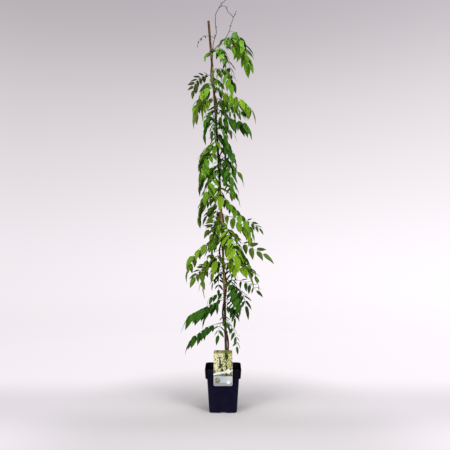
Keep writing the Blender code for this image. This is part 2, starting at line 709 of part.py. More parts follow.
def button(collection):
    """The round press button that closes the strap: a domed disc turned from its profile."""
    profile = ((0.0, 1.0), (0.62, 0.96), (0.90, 0.74), (1.0, 0.42), (0.97, 0.0), (0.0, 0.0))
    bm = bmesh.new()
    spots = [bm.verts.new((BUTTON_RADIUS * r, 0.0, BUTTON_THICK * h)) for r, h in profile]
    for a, b in zip(spots, spots[1:]):
        bm.edges.new((a, b))
    obj = mesh_object("label_button", bm, collection, "label_clip")
    turn = obj.modifiers.new("Turn", "SCREW")
    turn.steps = turn.render_steps = 16
    turn.use_merge_vertices = True
    turn.merge_threshold = 0.00005
    slope = (STRAP_HIGH - STRAP_LOW) / CARD_WIDTH
    face = CARD_FRONT - 2 * FIT_GAP - STRAP_THICK
    obj.location = (BUTTON_X, face, (STRAP_LOW + STRAP_HIGH) / 2 + slope * BUTTON_X)
    obj.rotation_euler = (math.pi / 2, 0.0, 0.0)
    return obj


# Leaves


def blade_half_width(share):
    """Half width of a leaflet, as a share of its widest, from its neck (0) to its pointed tip (1)."""
    widest = WIDEST / (WIDEST + TAPER)
    return (share**WIDEST * (1 - share) ** TAPER) / (widest**WIDEST * (1 - widest) ** TAPER)


def root_of(spec, shoots):
    """Where a leaf leaves its stem: the stem's centre and radius there, and the way to the cane or None."""
    if spec.on == "stem":
        middle = stem_center(spec.z)
        to_cane = cane_center(spec.z) - middle
        return middle, stem_radius(spec.z), math.degrees(math.atan2(to_cane.y, to_cane.x))
    points = shoots[spec.on]
    middle = min(points, key=lambda p: abs(p.z - spec.z))
    return middle, SHOOT_RADIUS, None


def wrapped(angle):
    return (angle + 180) % 360 - 180


def leaf_path(spec, root, turn_by, lift_by):
    """(point, tangent, side, normal) along the rachis, as arrays that the leaflets are read from."""
    middle, radius, to_cane = root
    draw = random.Random(spec.name)
    sway = draw.uniform(-16, 16)
    turn = spec.turn + turn_by
    start = turn
    if to_cane is not None and abs(wrapped(turn - to_cane)) < CANE_SHADE:
        start = turn + math.copysign(CANE_SHADE, wrapped(turn - to_cane)) - wrapped(turn - to_cane)
    rows = []
    for step in range(PATH_STEPS + 1):
        share = step / PATH_STEPS
        slope = math.radians(spec.rise + lift_by + (spec.fall - spec.rise) * share**spec.bend)
        heading = math.radians(turn + (start - turn) * max(0.0, 1 - share / SWING_END) + sway * share)
        level = Vector((math.cos(heading), math.sin(heading), 0.0))
        tangent = level * math.cos(slope) + Vector((0.0, 0.0, math.sin(slope)))
        side = Vector((-math.sin(heading), math.cos(heading), 0.0))
        roll = Matrix.Rotation(math.radians(spec.roll) * min(1.0, 2 * share), 3, tangent)
        if rows:
            spot = rows[-1][0] + (rows[-1][1] + tangent) / 2 * (spec.reach / PATH_STEPS)
        else:
            spot = middle + level * (radius + ROOT_CLEAR)
        side = roll @ side
        rows.append((spot, tangent, side, tangent.cross(side)))
    return rows


def path_at(rows, share):
    spot = min(max(share, 0.0), 1.0) * PATH_STEPS
    i = min(int(spot), PATH_STEPS - 1)
    return [a.lerp(b, spot - i) for a, b in zip(rows[i], rows[i + 1])]


def blade_sections(foot, axis, wide, length, sections):
    """The rows of a leaflet past its neck, as (left, right) pairs, and its tip."""
    rows = []
    for share in sections:
        droop = Vector((0, 0, -BLADE_CURL * length * share**2))
        centre = foot + axis * (length * share) + droop
        half = wide * (BLADE_WIDTH / 2 * length * blade_half_width(share))
        rows.append((centre - half, centre + half))
    return rows, foot + axis * length + Vector((0, 0, -BLADE_CURL * length))


def leaf_surface(spec, root, turn_by=0.0, lift_by=0.0):
    """The middle surface of one compound leaf: (points, triangles, which points are rachis)."""
    rows = leaf_path(spec, root, turn_by, lift_by)
    draw = random.Random(spec.name + "blades")
    neck = NECK / spec.reach / 2
    points, triangles, on_rachis = [], [], []

    def add(spot, rachis=False):
        points.append(spot)
        on_rachis.append(rachis)
        return len(points) - 1

    def station(share):
        spot, _, side, _ = path_at(rows, share)
        return add(spot + side * RACHIS_HALF, True), add(spot - side * RACHIS_HALF, True)

    def blade(edge, foot, axis, along_edge, length, tilt):
        """A leaflet whose neck is an edge of the rachis, from edge[0] to edge[1] along along_edge."""
        axis = (axis * (1 - spec.hang) + Vector((0, 0, -spec.hang))).normalized()
        wide = (along_edge - axis * along_edge.dot(axis)).normalized()
        wide = Matrix.Rotation(math.radians(tilt + draw.uniform(-TILT_SPREAD, TILT_SPREAD)), 3, axis) @ wide
        length *= draw.uniform(0.93, 1.05)
        sections, tip = blade_sections(foot, axis, wide, length, BLADE_SECTIONS)
        low, high = edge
        for left, right in sections:
            new_low, new_high = add(left), add(right)
            triangles.extend(((low, new_low, new_high), (low, new_high, high)))
            low, high = new_low, new_high
        triangles.append((low, add(tip), high))

    last = station(0.0)
    for pair in range(spec.pairs):
        middle = spec.bare + (1 - spec.bare) * pair / spec.pairs + 0.02
        first, second = station(middle - neck), station(middle + neck)
        for a, b in ((last, first), (first, second)):
            triangles.extend(((a[1], b[1], b[0]), (a[1], b[0], a[0])))
        last = second
        spot, tangent, side, _ = path_at(rows, middle)
        share = pair / max(1, spec.pairs - 1)
        spread = math.radians(SPREAD_FOOT + (SPREAD_TIP - SPREAD_FOOT) * share)
        length = spec.blade * (0.84 + 0.16 * math.sin(math.pi * (pair + 0.8) / (spec.pairs + 0.6)))
        for hand in (0, 1):
            way = side * (1 - 2 * hand)
            axis = tangent * math.cos(spread) + way * math.sin(spread)
            edge = (first[hand], second[hand])
            before = len(triangles)
            blade(edge, spot + way * RACHIS_HALF, axis, tangent, length, TILT * (1 - 2 * hand))
            if hand == 0:
                triangles[before:] = [t[::-1] for t in triangles[before:]]
    end = station(1.0)
    triangles.extend(((last[1], end[1], end[0]), (last[1], end[0], last[0])))
    spot, tangent, side, _ = path_at(rows, 1.0)
    blade((end[1], end[0]), spot, tangent, side, spec.blade * 1.05, 0.0)
    return points, [t[::-1] for t in triangles], on_rachis


def surface_normals(points, triangles):
    normals = [Vector() for _ in points]
    for a, b, c in triangles:
        normal = (points[b] - points[a]).cross(points[c] - points[a])
        for i in (a, b, c):
            normals[i] += normal
    return [n.normalized() for n in normals]


def both_faces(points, triangles, on_rachis):
    """The two faces that the leaf's thickness gives it, moved out by the clearance, as a search tree."""
    normals = surface_normals(points, triangles)
    half = [(RACHIS_THICK if r else BLADE_THICK) / 2 + CLEARANCE for r in on_rachis]
    front = [p + n * h for p, n, h in zip(points, normals, half)]
    back = [p - n * h for p, n, h in zip(points, normals, half)]
    shifted = [tuple(i + len(points) for i in t) for t in triangles]
    return BVHTree.FromPolygons(front + back, list(triangles) + shifted, all_triangles=True)


def tree_of(obj):
    """A search tree of an object as it stands."""
    bpy.context.view_layer.update()
    graph = bpy.context.evaluated_depsgraph_get()
    evaluated = obj.evaluated_get(graph)
    mesh = evaluated.to_mesh()
    mesh.transform(obj.matrix_world)
    mesh.calc_loop_triangles()
    tree = BVHTree.FromPolygons([v.co.copy() for v in mesh.vertices],
                                [tuple(t.vertices) for t in mesh.loop_triangles], all_triangles=True)
    evaluated.to_mesh_clear()
    return tree


def place_leaf(spec, root, neighbours):
    """The leaf's surface at the first small turn and lift that clears everything placed before it."""
    fewest, best = None, None
    for turn_by, lift_by in MOVES:
        surface = leaf_surface(spec, root, turn_by, lift_by)
        tree = both_faces(*surface)
        crossings = sum(len(tree.overlap(other)) for other in neighbours)
        if fewest is None or crossings < fewest:
            fewest, best = crossings, (surface, tree, (turn_by, lift_by))
        if crossings == 0:
            break
    surface, tree, moved = best
    neighbours.append(tree)
    if fewest or moved != (0, 0):
        print(f"{spec.name}: turned {moved[0]}, lifted {moved[1]}, {fewest} crossings")
    return surface


def leaf_object(spec, surface, collection):
    points, triangles, on_rachis = surface
    mesh = bpy.data.meshes.new(spec.name)
    mesh.from_pydata([tuple(p) for p in points], [], triangles)
    mesh.update()
    obj = add_object(spec.name, mesh, collection, "leaf_" + spec.tone)
    group = obj.vertex_groups.new(name="thick")
    thin = BLADE_THICK / RACHIS_THICK
    for i, rachis in enumerate(on_rachis):
        group.add([i], 1.0 if rachis else thin, "REPLACE")
    solid = obj.modifiers.new("Thickness", "SOLIDIFY")
    solid.thickness = RACHIS_THICK
    solid.offset = 0.0
    solid.vertex_group = group.name
    return obj


def main():
    clear_scene()
    plant = new_collection("wisteria_in_a_pot")
    fixed = [pot(plant), soil(plant), cane(plant), stem(plant)]
    left_branches = ((SHOOT_LEFT, LEFT_BUDS, SHOOT_STEPS),)
    right_branches = ((SHOOT_RIGHT, RIGHT_BUDS, SHOOT_STEPS), (SHOOT_FORK, FORK_BUDS, SHOOT_STEPS))
    fixed.append(joined_shoot("shoot_left", left_branches, plant))
    fixed.append(joined_shoot("shoot_right", right_branches, plant))
    fixed += [tie(number, z, plant) for number, z in enumerate(TIE_HEIGHTS, 1)]
    fixed += [card(plant), strap(plant), button(plant)]

    shoots = {
        "shoot_left": smooth_route(SHOOT_LEFT, SHOOT_STEPS),
        "shoot_right": smooth_route(SHOOT_RIGHT, SHOOT_STEPS),
    }
    neighbours = [tree_of(obj) for obj in fixed]
    for spec in LEAVES:
        surface = place_leaf(spec, root_of(spec, shoots), neighbours)
        leaf_object(spec, surface, plant)


main()
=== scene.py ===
"""The looks of a young wisteria trained up a bamboo cane in a square nursery pot, with its picture label.

Metres, +Z up. The origin is the middle of the pot's underside. -Y is the side that the label hangs on.
"""

import json
import math
import random
from collections import namedtuple

import bmesh
import bpy
import numpy as np
from mathutils import Matrix, Vector, noise

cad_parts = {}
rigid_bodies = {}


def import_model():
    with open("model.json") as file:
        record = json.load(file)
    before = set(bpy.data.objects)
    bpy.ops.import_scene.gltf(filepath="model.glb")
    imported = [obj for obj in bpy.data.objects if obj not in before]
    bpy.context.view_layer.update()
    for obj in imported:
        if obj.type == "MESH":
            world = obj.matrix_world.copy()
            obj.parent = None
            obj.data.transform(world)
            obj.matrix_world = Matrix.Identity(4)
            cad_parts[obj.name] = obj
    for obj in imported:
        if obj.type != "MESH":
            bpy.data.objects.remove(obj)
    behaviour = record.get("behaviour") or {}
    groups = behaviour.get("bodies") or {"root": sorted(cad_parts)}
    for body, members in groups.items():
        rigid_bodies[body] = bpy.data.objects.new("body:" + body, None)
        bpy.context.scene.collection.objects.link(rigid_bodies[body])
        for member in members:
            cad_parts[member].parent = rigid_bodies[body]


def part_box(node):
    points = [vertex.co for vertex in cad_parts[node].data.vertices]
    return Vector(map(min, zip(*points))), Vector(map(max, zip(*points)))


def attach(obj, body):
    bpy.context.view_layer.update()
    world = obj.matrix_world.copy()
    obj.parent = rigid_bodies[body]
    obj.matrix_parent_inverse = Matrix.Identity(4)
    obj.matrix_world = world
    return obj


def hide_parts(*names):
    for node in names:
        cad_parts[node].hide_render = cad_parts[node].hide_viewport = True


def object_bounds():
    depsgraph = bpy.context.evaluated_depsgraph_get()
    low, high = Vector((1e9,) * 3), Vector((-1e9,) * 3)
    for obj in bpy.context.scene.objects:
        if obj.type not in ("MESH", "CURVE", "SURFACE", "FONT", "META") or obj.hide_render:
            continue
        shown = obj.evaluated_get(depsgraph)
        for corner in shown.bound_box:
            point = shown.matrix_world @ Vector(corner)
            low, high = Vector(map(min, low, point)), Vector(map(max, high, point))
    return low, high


for startup_object in list(bpy.data.objects):
    bpy.data.objects.remove(startup_object)
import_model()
cad_low, cad_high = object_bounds()

BODY = "root"

# Pot: half widths are measured square across the outside of the wall
POT_HEIGHT = 0.205
RIM_HALF = 0.086
COLLAR_LOW_HALF = 0.0833
LIP = 0.004
BODY_TOP_HALF = 0.0754
BASE_HALF = 0.0655
COLLAR_HEIGHT = 0.043
COLLAR_STEP = 0.003
RIM_CORNER = 0.021
BASE_CORNER = 0.015
WALL = 0.0022
CORNER_STEPS = 14
CHANNEL_WIDTH = 0.031
CHANNEL_HEIGHT = 0.0052
CHANNEL_INNER = 0.034
CHANNEL_WALL = 0.0022
CHANNEL_CORNER = 0.0022
DRAIN_RADIUS = 0.0045
DRAIN_FROM_MIDDLE = 0.042

# Soil
SOIL_LEVEL = 0.170
SOIL_BUMP = 0.0022
SOIL_FOOT = 0.009
PLUMB_ABOVE = 0.005
FIT_GAP = 0.0004
CRUMBS = 260

# Cane: it leans to -X and bows a little, so its centre is a parabola in z
CANE_RADIUS = 0.0062
CANE_TOP_RADIUS = 0.0059
CANE_FOOT = 0.080
CANE_LENGTH = 1.800
CANE_BASE_X = 0.018
CANE_LEAN = 0.010
CANE_BOW = 0.020
CANE_JOINTS = (0.17, 0.33, 0.50, 0.68, 0.87, 1.07, 1.27, 1.47, 1.66)
JOINT_ROWS = (-0.0060, -0.0042, -0.0030, -0.0022, -0.0012, 0.0, 0.0010, 0.0022, 0.0040, 0.0070)

# Woody stem: it twines anticlockwise up the cane
STEM_FOOT = 0.105
STEM_TOP = 1.745
STEM_FOOT_RADIUS = 0.0048
STEM_TOP_RADIUS = 0.0023
TWINE_PITCH = 0.2875
TWINE_START = 0.600
STEM_CANE_GAP = 0.0010
LOOSE_LOOP = (0.775, 0.045, 0.0080)
SOIL_SPREAD = 0.0075
GRAFT = (0.405, 0.011, 0.40)

# Soft ties round the cane and the stem
TIE_HEIGHTS = (0.368, 0.868, 1.252, 1.728)
TIE_HEIGHT = 0.005
TIE_GAP = 0.0011
TIE_WALL = 0.0011

# Label: a printed card that hangs in front of the collar
CARD_WIDTH = 0.088
CARD_LOW, CARD_HIGH = 0.133, 0.297
CARD_THICK = 0.0008
CARD_CORNER = 0.006
CARD_FRONT = -0.0895
CARD_LEAN = 0.0125
STRAP_LOW, STRAP_HIGH = 0.1860, 0.2049
STRAP_DEPTH = 0.0075
STRAP_THICK = 0.0008
HOOK_WIDTH = 0.012
HOOK_REACH = 0.014
HOOK_SLACK = 0.0030
BUTTON_RADIUS = 0.0110
BUTTON_THICK = 0.0030
BUTTON_X = 0.0245

# Leaves: a rachis with leaflets in pairs and one at the end
RACHIS_HALF = 0.0012
WIDEST, TAPER = 0.55, 1.10
ROOT_CLEAR = 0.0012
SWING_END = 0.22
CANE_SHADE = 80.0
SPREAD_FOOT, SPREAD_TIP = 68.0, 48.0
BLADE_CURL = 0.10
TILT, TILT_SPREAD = -26.0, 4.0
PATH_STEPS = 40
MOVES = sorted(
    ((turn, lift) for lift in range(-18, 19, 6) for turn in range(-28, 29, 4)),
    key=lambda move: (move[0] ** 2 + move[1] ** 2, move),
)
BLADE_ROWS = (
    0.0, 0.012, 0.04, 0.085, 0.14, 0.21, 0.29, 0.37, 0.46, 0.55, 0.64, 0.73, 0.81, 0.88, 0.94, 0.98, 1.0,
)
BLADE_COLUMNS = (-1.0, -0.80, -0.52, -0.24, -0.08, 0.0, 0.08, 0.24, 0.52, 0.80, 1.0)
# Leaflets by tone: the full width as a share of the length, and how far they fold along the midrib
FULL_WIDTH = {"young": 0.49, "fresh": 0.45, "dark": 0.36}
FOLD = {"young": 0.40, "fresh": 0.32, "dark": 0.24}
# How far a leaflet strays from its solid: three turns in degrees, its size, and its distance from the frame
SWING, NOD, LEAN = 17, 12, 20
SMALLEST, LARGEST = 0.80, 1.06
FRAME_MARGIN = 0.004
# How far a leaf's own box lies outside its rachis and leaflet tips
BOX_SLACK = 0.0004
BLADE_STALK = 0.055
BLADE_HALF_THICK = 0.00018
MIDRIB_DEPTH = 0.00030

# on: what the leaf grows from; z: the height of its root; turn: 0 is +X, 90 is +Y, -90 is -Y.
# rise and fall: the slope of the rachis where it starts and where it ends. bend under 1 falls early.
# bare: the share of the rachis before its first leaflets.
# hang: 0 leaves the leaflets in the plane of the rachis, 1 hangs them straight down.
Leaf = namedtuple("Leaf", "name on z turn rise fall reach pairs blade hang tone roll bend bare")


def leaf(name, on, z, turn, rise, fall, reach, pairs, blade, hang, tone, roll=0.0, bend=1.0, bare=0.17):
    return Leaf(name, on, z, turn, rise, fall, reach, pairs, blade, hang, tone, roll, bend, bare)


LEAVES = (
    leaf("leaf_01", "shoot_right", 1.826, -14, 30, -90, 0.186, 5, 0.082, 0.42, "young",
         roll=58, bend=0.3, bare=0.1),
    leaf("leaf_02", "shoot_right", 1.772, -62, 30, -76, 0.130, 4, 0.058, 0.50, "fresh"),
    leaf("leaf_03", "stem", 1.738, -34, 20, -92, 0.120, 4, 0.050, 0.44, "fresh", bend=0.7),
    leaf("leaf_04", "shoot_right", 1.757, 48, -22, -78, 0.200, 5, 0.064, 0.40, "dark", bare=0.05),
    leaf("leaf_05", "stem", 1.716, -140, 16, -50, 0.036, 1, 0.050, 0.35, "fresh"),
    leaf("leaf_06", "stem", 1.636, -44, 10, -76, 0.184, 5, 0.072, 0.55, "fresh"),
    leaf("leaf_07", "stem", 1.612, 172, 14, -92, 0.122, 6, 0.044, 0.05, "young", roll=45, bare=0.10),
    leaf("leaf_08", "stem", 1.534, 3, 2, -54, 0.208, 6, 0.070, 0.76, "young", bare=0.22),
    leaf("leaf_09", "stem", 1.556, 184, -28, -90, 0.172, 5, 0.074, 0.36, "young", roll=30, bare=0.10),
    leaf("leaf_10", "stem", 1.568, -74, -4, -76, 0.090, 2, 0.066, 0.45, "fresh"),
    leaf("leaf_11", "stem", 1.494, -30, -6, -42, 0.130, 4, 0.046, 0.70, "fresh"),
    leaf("leaf_12", "stem", 1.466, 120, 10, -62, 0.130, 4, 0.054, 0.30, "dark", bare=0.10),
    leaf("leaf_13", "stem", 1.408, 8, 4, -34, 0.152, 6, 0.084, 0.56, "dark", bare=0.05),
    leaf("leaf_14", "stem", 1.398, -98, -12, -78, 0.100, 4, 0.050, 0.40, "dark"),
    leaf("leaf_15", "stem", 1.345, -10, -36, -72, 0.168, 5, 0.076, 0.42, "dark"),
    leaf("leaf_16", "stem", 1.290, 152, -15, -86, 0.130, 5, 0.060, 0.40, "fresh", roll=20),
    leaf("leaf_17", "stem", 1.272, 62, 8, -66, 0.185, 5, 0.064, 0.50, "dark"),
    leaf("leaf_18", "stem", 1.246, -136, -16, -80, 0.150, 5, 0.070, 0.40, "fresh"),
    leaf("leaf_19", "stem", 1.222, -56, -6, -74, 0.160, 5, 0.076, 0.42, "dark"),
    leaf("leaf_20", "stem", 1.200, 36, -6, -50, 0.145, 4, 0.056, 0.30, "fresh", roll=40),
    leaf("leaf_21", "stem", 1.178, 150, 8, -76, 0.165, 5, 0.062, 0.45, "fresh"),
    leaf("leaf_22", "stem", 1.148, 62, -8, -58, 0.170, 5, 0.060, 0.35, "fresh"),
    leaf("leaf_23", "stem", 1.126, -120, 2, -74, 0.150, 5, 0.074, 0.42, "fresh"),
    leaf("leaf_24", "stem", 1.090, 164, -30, -86, 0.200, 6, 0.060, 0.36, "fresh"),
    leaf("leaf_25", "stem", 1.062, -78, 10, -80, 0.070, 2, 0.092, 0.45, "young"),
    leaf("leaf_26", "stem", 1.052, 6, -38, -50, 0.255, 7, 0.060, 0.42, "fresh", roll=24, bare=0.08),
    leaf("leaf_27", "stem", 0.974, 152, -60, -86, 0.135, 5, 0.056, 0.10, "young", roll=60),
    leaf("leaf_28", "stem", 0.936, -2, 2, -66, 0.205, 6, 0.062, 0.66, "young", bare=0.06),
    leaf("leaf_29", "stem", 0.888, 218, -46, -84, 0.140, 6, 0.050, 0.12, "fresh", roll=62),
    leaf("leaf_30", "stem", 0.852, -64, 0, -80, 0.170, 5, 0.080, 0.26, "young"),
    leaf("leaf_31", "stem", 0.838, -6, -22, -30, 0.206, 3, 0.070, 0.08, "young", roll=-52, bare=0.50),
    leaf("leaf_32", "stem", 0.818, 166, 2, -74, 0.240, 5, 0.070, 0.46, "young", roll=16),
    leaf("leaf_33", "stem", 0.806, 26, 4, -54, 0.170, 5, 0.070, 0.45, "dark"),
    leaf("leaf_34", "stem", 0.762, 188, -6, -102, 0.206, 5, 0.066, 0.26, "young", roll=44, bend=0.6),
    leaf("leaf_35", "stem", 0.752, -108, -10, -80, 0.052, 1, 0.086, 0.40, "young", bare=0.5),
    leaf("leaf_36", "stem", 0.722, -22, -8, -34, 0.150, 3, 0.086, 0.24, "young", bare=0.3),
    leaf("leaf_37", "stem", 0.690, 68, 4, -76, 0.190, 5, 0.062, 0.30, "dark"),
    leaf("leaf_38", "stem", 0.678, 108, -4, -76, 0.170, 5, 0.044, 0.20, "dark"),
    leaf("leaf_39", "stem", 0.626, -50, -16, -78, 0.150, 5, 0.064, 0.32, "fresh"),
    leaf("leaf_40", "stem", 0.596, 18, 10, -74, 0.166, 5, 0.064, 0.30, "dark", roll=-30),
    leaf("leaf_41", "stem", 0.526, 190, -18, -31, 0.186, 7, 0.082, 0.54, "dark"),
    leaf("leaf_42", "stem", 0.530, 68, -10, -72, 0.112, 5, 0.056, 0.32, "dark"),
    leaf("leaf_43", "stem", 0.414, 178, -10, -52, 0.188, 6, 0.064, 0.56, "dark", bare=0.24),
    leaf("leaf_44", "stem", 0.420, -20, -30, -94, 0.142, 5, 0.044, 0.14, "dark", roll=24),
    leaf("leaf_45", "stem", 0.414, -112, 4, -84, 0.085, 3, 0.046, 0.25, "dark"),
    leaf("leaf_46", "shoot_left", 1.800, 162, 34, -90, 0.110, 3, 0.017, 0.30, "young", bend=1.3, bare=0.42),
    leaf("leaf_47", "stem", 0.768, 6, -6, -80, 0.270, 6, 0.040, 0.14, "fresh", bend=1.1),
)

# Small leaves close to the stem, between the leaves that have solids of their own
INNER_LEAVES = (
    leaf("inner_leaf_01", "stem", 1.604, -30, -10, -70, 0.085, 3, 0.050, 0.40, "fresh"),
    leaf("inner_leaf_02", "stem", 1.566, -165, -5, -75, 0.078, 3, 0.046, 0.35, "young"),
    leaf("inner_leaf_03", "stem", 1.506, 55, 8, -55, 0.100, 4, 0.044, 0.30, "dark"),
    leaf("inner_leaf_04", "stem", 1.484, -62, 5, -60, 0.074, 3, 0.042, 0.40, "dark"),
    leaf("inner_leaf_05", "stem", 1.446, -152, -8, -70, 0.088, 3, 0.052, 0.40, "dark"),
    leaf("inner_leaf_06", "stem", 1.388, -52, -20, -80, 0.096, 3, 0.058, 0.40, "dark"),
    leaf("inner_leaf_07", "stem", 1.330, -84, -20, -85, 0.086, 3, 0.060, 0.38, "fresh"),
    leaf("inner_leaf_08", "stem", 1.264, -172, 0, -75, 0.096, 4, 0.050, 0.36, "fresh"),
    leaf("inner_leaf_09", "stem", 1.208, -82, -10, -80, 0.080, 3, 0.060, 0.36, "dark"),
    leaf("inner_leaf_10", "stem", 1.156, 200, -10, -80, 0.092, 4, 0.050, 0.38, "fresh"),
    leaf("inner_leaf_11", "stem", 1.134, -22, -10, -70, 0.100, 4, 0.050, 0.38, "dark"),
    leaf("inner_leaf_12", "stem", 1.014, 28, -10, -60, 0.096, 4, 0.046, 0.34, "fresh"),
    leaf("inner_leaf_13", "stem", 0.992, -162, -18, -70, 0.074, 3, 0.046, 0.30, "fresh"),
    leaf("inner_leaf_14", "stem", 0.906, -150, -20, -75, 0.082, 3, 0.054, 0.32, "young"),
    leaf("inner_leaf_15", "stem", 0.868, -30, -10, -75, 0.098, 3, 0.060, 0.32, "fresh"),
    leaf("inner_leaf_16", "stem", 0.706, -40, -8, -75, 0.100, 4, 0.050, 0.32, "dark"),
    leaf("inner_leaf_17", "stem", 0.654, 190, -10, -70, 0.072, 3, 0.042, 0.28, "dark"),
    leaf("inner_leaf_18", "stem", 0.566, -36, -5, -75, 0.098, 4, 0.050, 0.32, "dark"),
    leaf("inner_leaf_19", "stem", 0.546, 40, 0, -70, 0.100, 4, 0.050, 0.30, "dark"),
    leaf("inner_leaf_20", "stem", 0.452, -44, -10, -80, 0.072, 3, 0.046, 0.30, "dark"),
    leaf("inner_leaf_21", "shoot_right", 1.800, -30, 14, -88, 0.150, 4, 0.070, 0.46, "fresh"),
    leaf("inner_leaf_22", "stem", 1.566, 18, -12, -75, 0.095, 3, 0.050, 0.40, "fresh"),
    leaf("inner_leaf_23", "stem", 1.462, 12, 4, -30, 0.140, 5, 0.036, 0.62, "dark", bare=0.12),
    leaf("inner_leaf_24", "stem", 1.512, -160, -20, -82, 0.100, 4, 0.050, 0.36, "young"),
    leaf("inner_leaf_25", "stem", 1.106, -8, -30, -62, 0.115, 4, 0.052, 0.36, "fresh"),
    leaf("inner_leaf_26", "stem", 0.980, 175, -10, -66, 0.080, 4, 0.050, 0.16, "fresh", roll=40),
    leaf("inner_leaf_27", "stem", 0.828, 205, -8, -64, 0.082, 3, 0.062, 0.34, "fresh"),
    leaf("inner_leaf_28", "stem", 0.880, -66, -14, -86, 0.112, 4, 0.060, 0.36, "young"),
    leaf("inner_leaf_29", "stem", 0.614, 2, 16, -52, 0.160, 4, 0.050, 0.16, "dark", roll=-55, bare=0.40),
    leaf("inner_leaf_30", "stem", 0.556, 172, 4, -42, 0.085, 3, 0.050, 0.46, "dark"),
    leaf("inner_leaf_31", "stem", 0.738, 176, -20, -80, 0.110, 4, 0.056, 0.34, "young"),
    leaf("inner_leaf_32", "shoot_right", 1.762, -6, 16, -84, 0.205, 5, 0.058, 0.40, "fresh", roll=50),
    leaf("inner_leaf_33", "stem", 1.443, -40, 0, -60, 0.080, 3, 0.045, 0.40, "dark"),
    leaf("inner_leaf_34", "stem", 1.428, -12, 10, -20, 0.120, 4, 0.040, 0.60, "dark", bare=0.30),
    leaf("inner_leaf_35", "stem", 1.412, -160, -20, -88, 0.110, 4, 0.056, 0.40, "dark"),
    leaf("inner_leaf_36", "stem", 1.375, -14, -10, -50, 0.100, 3, 0.050, 0.50, "dark"),
    leaf("inner_leaf_37", "stem", 1.030, 190, -10, -70, 0.075, 3, 0.045, 0.30, "fresh", roll=50),
    leaf("inner_leaf_38", "stem", 0.905, 184, -6, -50, 0.085, 3, 0.052, 0.14, "fresh", roll=56),
    leaf("inner_leaf_39", "stem", 0.926, -4, 4, -40, 0.185, 3, 0.045, 0.20, "fresh", roll=-55, bare=0.62),
    leaf("inner_leaf_40", "stem", 0.812, 196, 0, -80, 0.060, 2, 0.050, 0.30, "young", roll=45),
    leaf("inner_leaf_41", "stem", 0.800, -30, -30, -88, 0.100, 4, 0.048, 0.35, "fresh"),
    leaf("inner_leaf_42", "stem", 0.706, 178, 0, -60, 0.150, 4, 0.052, 0.16, "young", roll=55, bare=0.45),
    leaf("inner_leaf_43", "stem", 0.716, -150, -20, -85, 0.070, 3, 0.055, 0.30, "young"),
    leaf("inner_leaf_44", "stem", 0.724, 4, 2, -55, 0.200, 3, 0.050, 0.20, "fresh", roll=-50, bare=0.62),
    leaf("inner_leaf_45", "stem", 0.540, 186, -30, -60, 0.130, 4, 0.056, 0.30, "dark", roll=30),
    leaf("inner_leaf_46", "stem", 0.500, -24, -10, -85, 0.085, 4, 0.052, 0.35, "dark"),
)

# Leaves whose colour differs from the others of their tone
OTHER_TONES = {"leaf_01": "fresh", "leaf_07": "olive", "leaf_39": "dark", "leaf_46": "dusky"}

# The two thin shoots above the tie, and the fork that winds back from one to the other
SHOOT_LEFT = (
    (-0.0500, 0.0010, 1.7465), (-0.0480, 0.0020, 1.770), (-0.0406, 0.0040, 1.799), (-0.0335, 0.0050, 1.823),
    (-0.0357, 0.0030, 1.852), (-0.0386, -0.0020, 1.886), (-0.0343, -0.0060, 1.915), (-0.0236, -0.0070, 1.935),
    (-0.0163, -0.0060, 1.949), (-0.0066, -0.0020, 1.964), (0.0104, 0.0040, 1.983), (0.0240, 0.0100, 2.003),
    (0.0310, 0.0140, 2.022), (0.0300, 0.0170, 2.034),
)
SHOOT_RIGHT = (
    (-0.0462, 0.0020, 1.7400), (-0.0284, 0.0040, 1.757), (-0.0114, 0.0020, 1.773), (0.0104, 0.0000, 1.794),
    (0.0250, -0.0040, 1.818), (0.0323, -0.0050, 1.837), (0.0396, -0.0030, 1.866), (0.0508, 0.0020, 1.898),
    (0.0590, 0.0060, 1.920), (0.0654, 0.0100, 1.935),
)
SHOOT_FORK = (
    (0.0508, 0.0020, 1.898), (0.0372, 0.0060, 1.914), (0.0226, 0.0080, 1.930), (0.0168, 0.0070, 1.944),
    (0.0080, 0.0090, 1.956), (-0.0050, 0.0110, 1.957), (-0.0120, 0.0080, 1.952),
)
SHOOT_RADIUS = 0.0018
SHOOT_TIP_RADIUS = 0.0011
COARSE_STEPS = 2
FINE_STEPS = 10
# Buds on the shoots: how far along the route each one sits, from 0 to 1, its turn and its length
LEFT_BUDS = ((0.18, 200, 0.013), (0.30, -20, 0.010), (0.58, 0, 0.016), (0.70, 170, 0.012), (0.86, 20, 0.012))
RIGHT_BUDS = ((0.30, 200, 0.010), (0.62, 160, 0.010), (0.84, 10, 0.011))
FORK_BUDS = ((0.45, -90, 0.020), (0.80, -160, 0.012))
BUD_RADIUS = 0.0013

# Camera and backdrop. The floor glows from FLOOR_LIT out to FLOOR_GLOW from the middle, and WALL_FILL is
# the share of the glow that lights the plant.
CAMERA_SPOT = (0.009, -2.8, 0.842)
CAMERA_PITCH_UP = 0.9
CAMERA_LENS = 46.26
SWEEP_RADIUS = 4.2
SWEEP_BEND = 1.0
SWEEP_HEIGHT = 4.6
SWEEP_SIDES = 96
FLOOR_LIT, FLOOR_GLOW = 0.15, 0.92
WALL_FILL = 0.15


# Shader steps


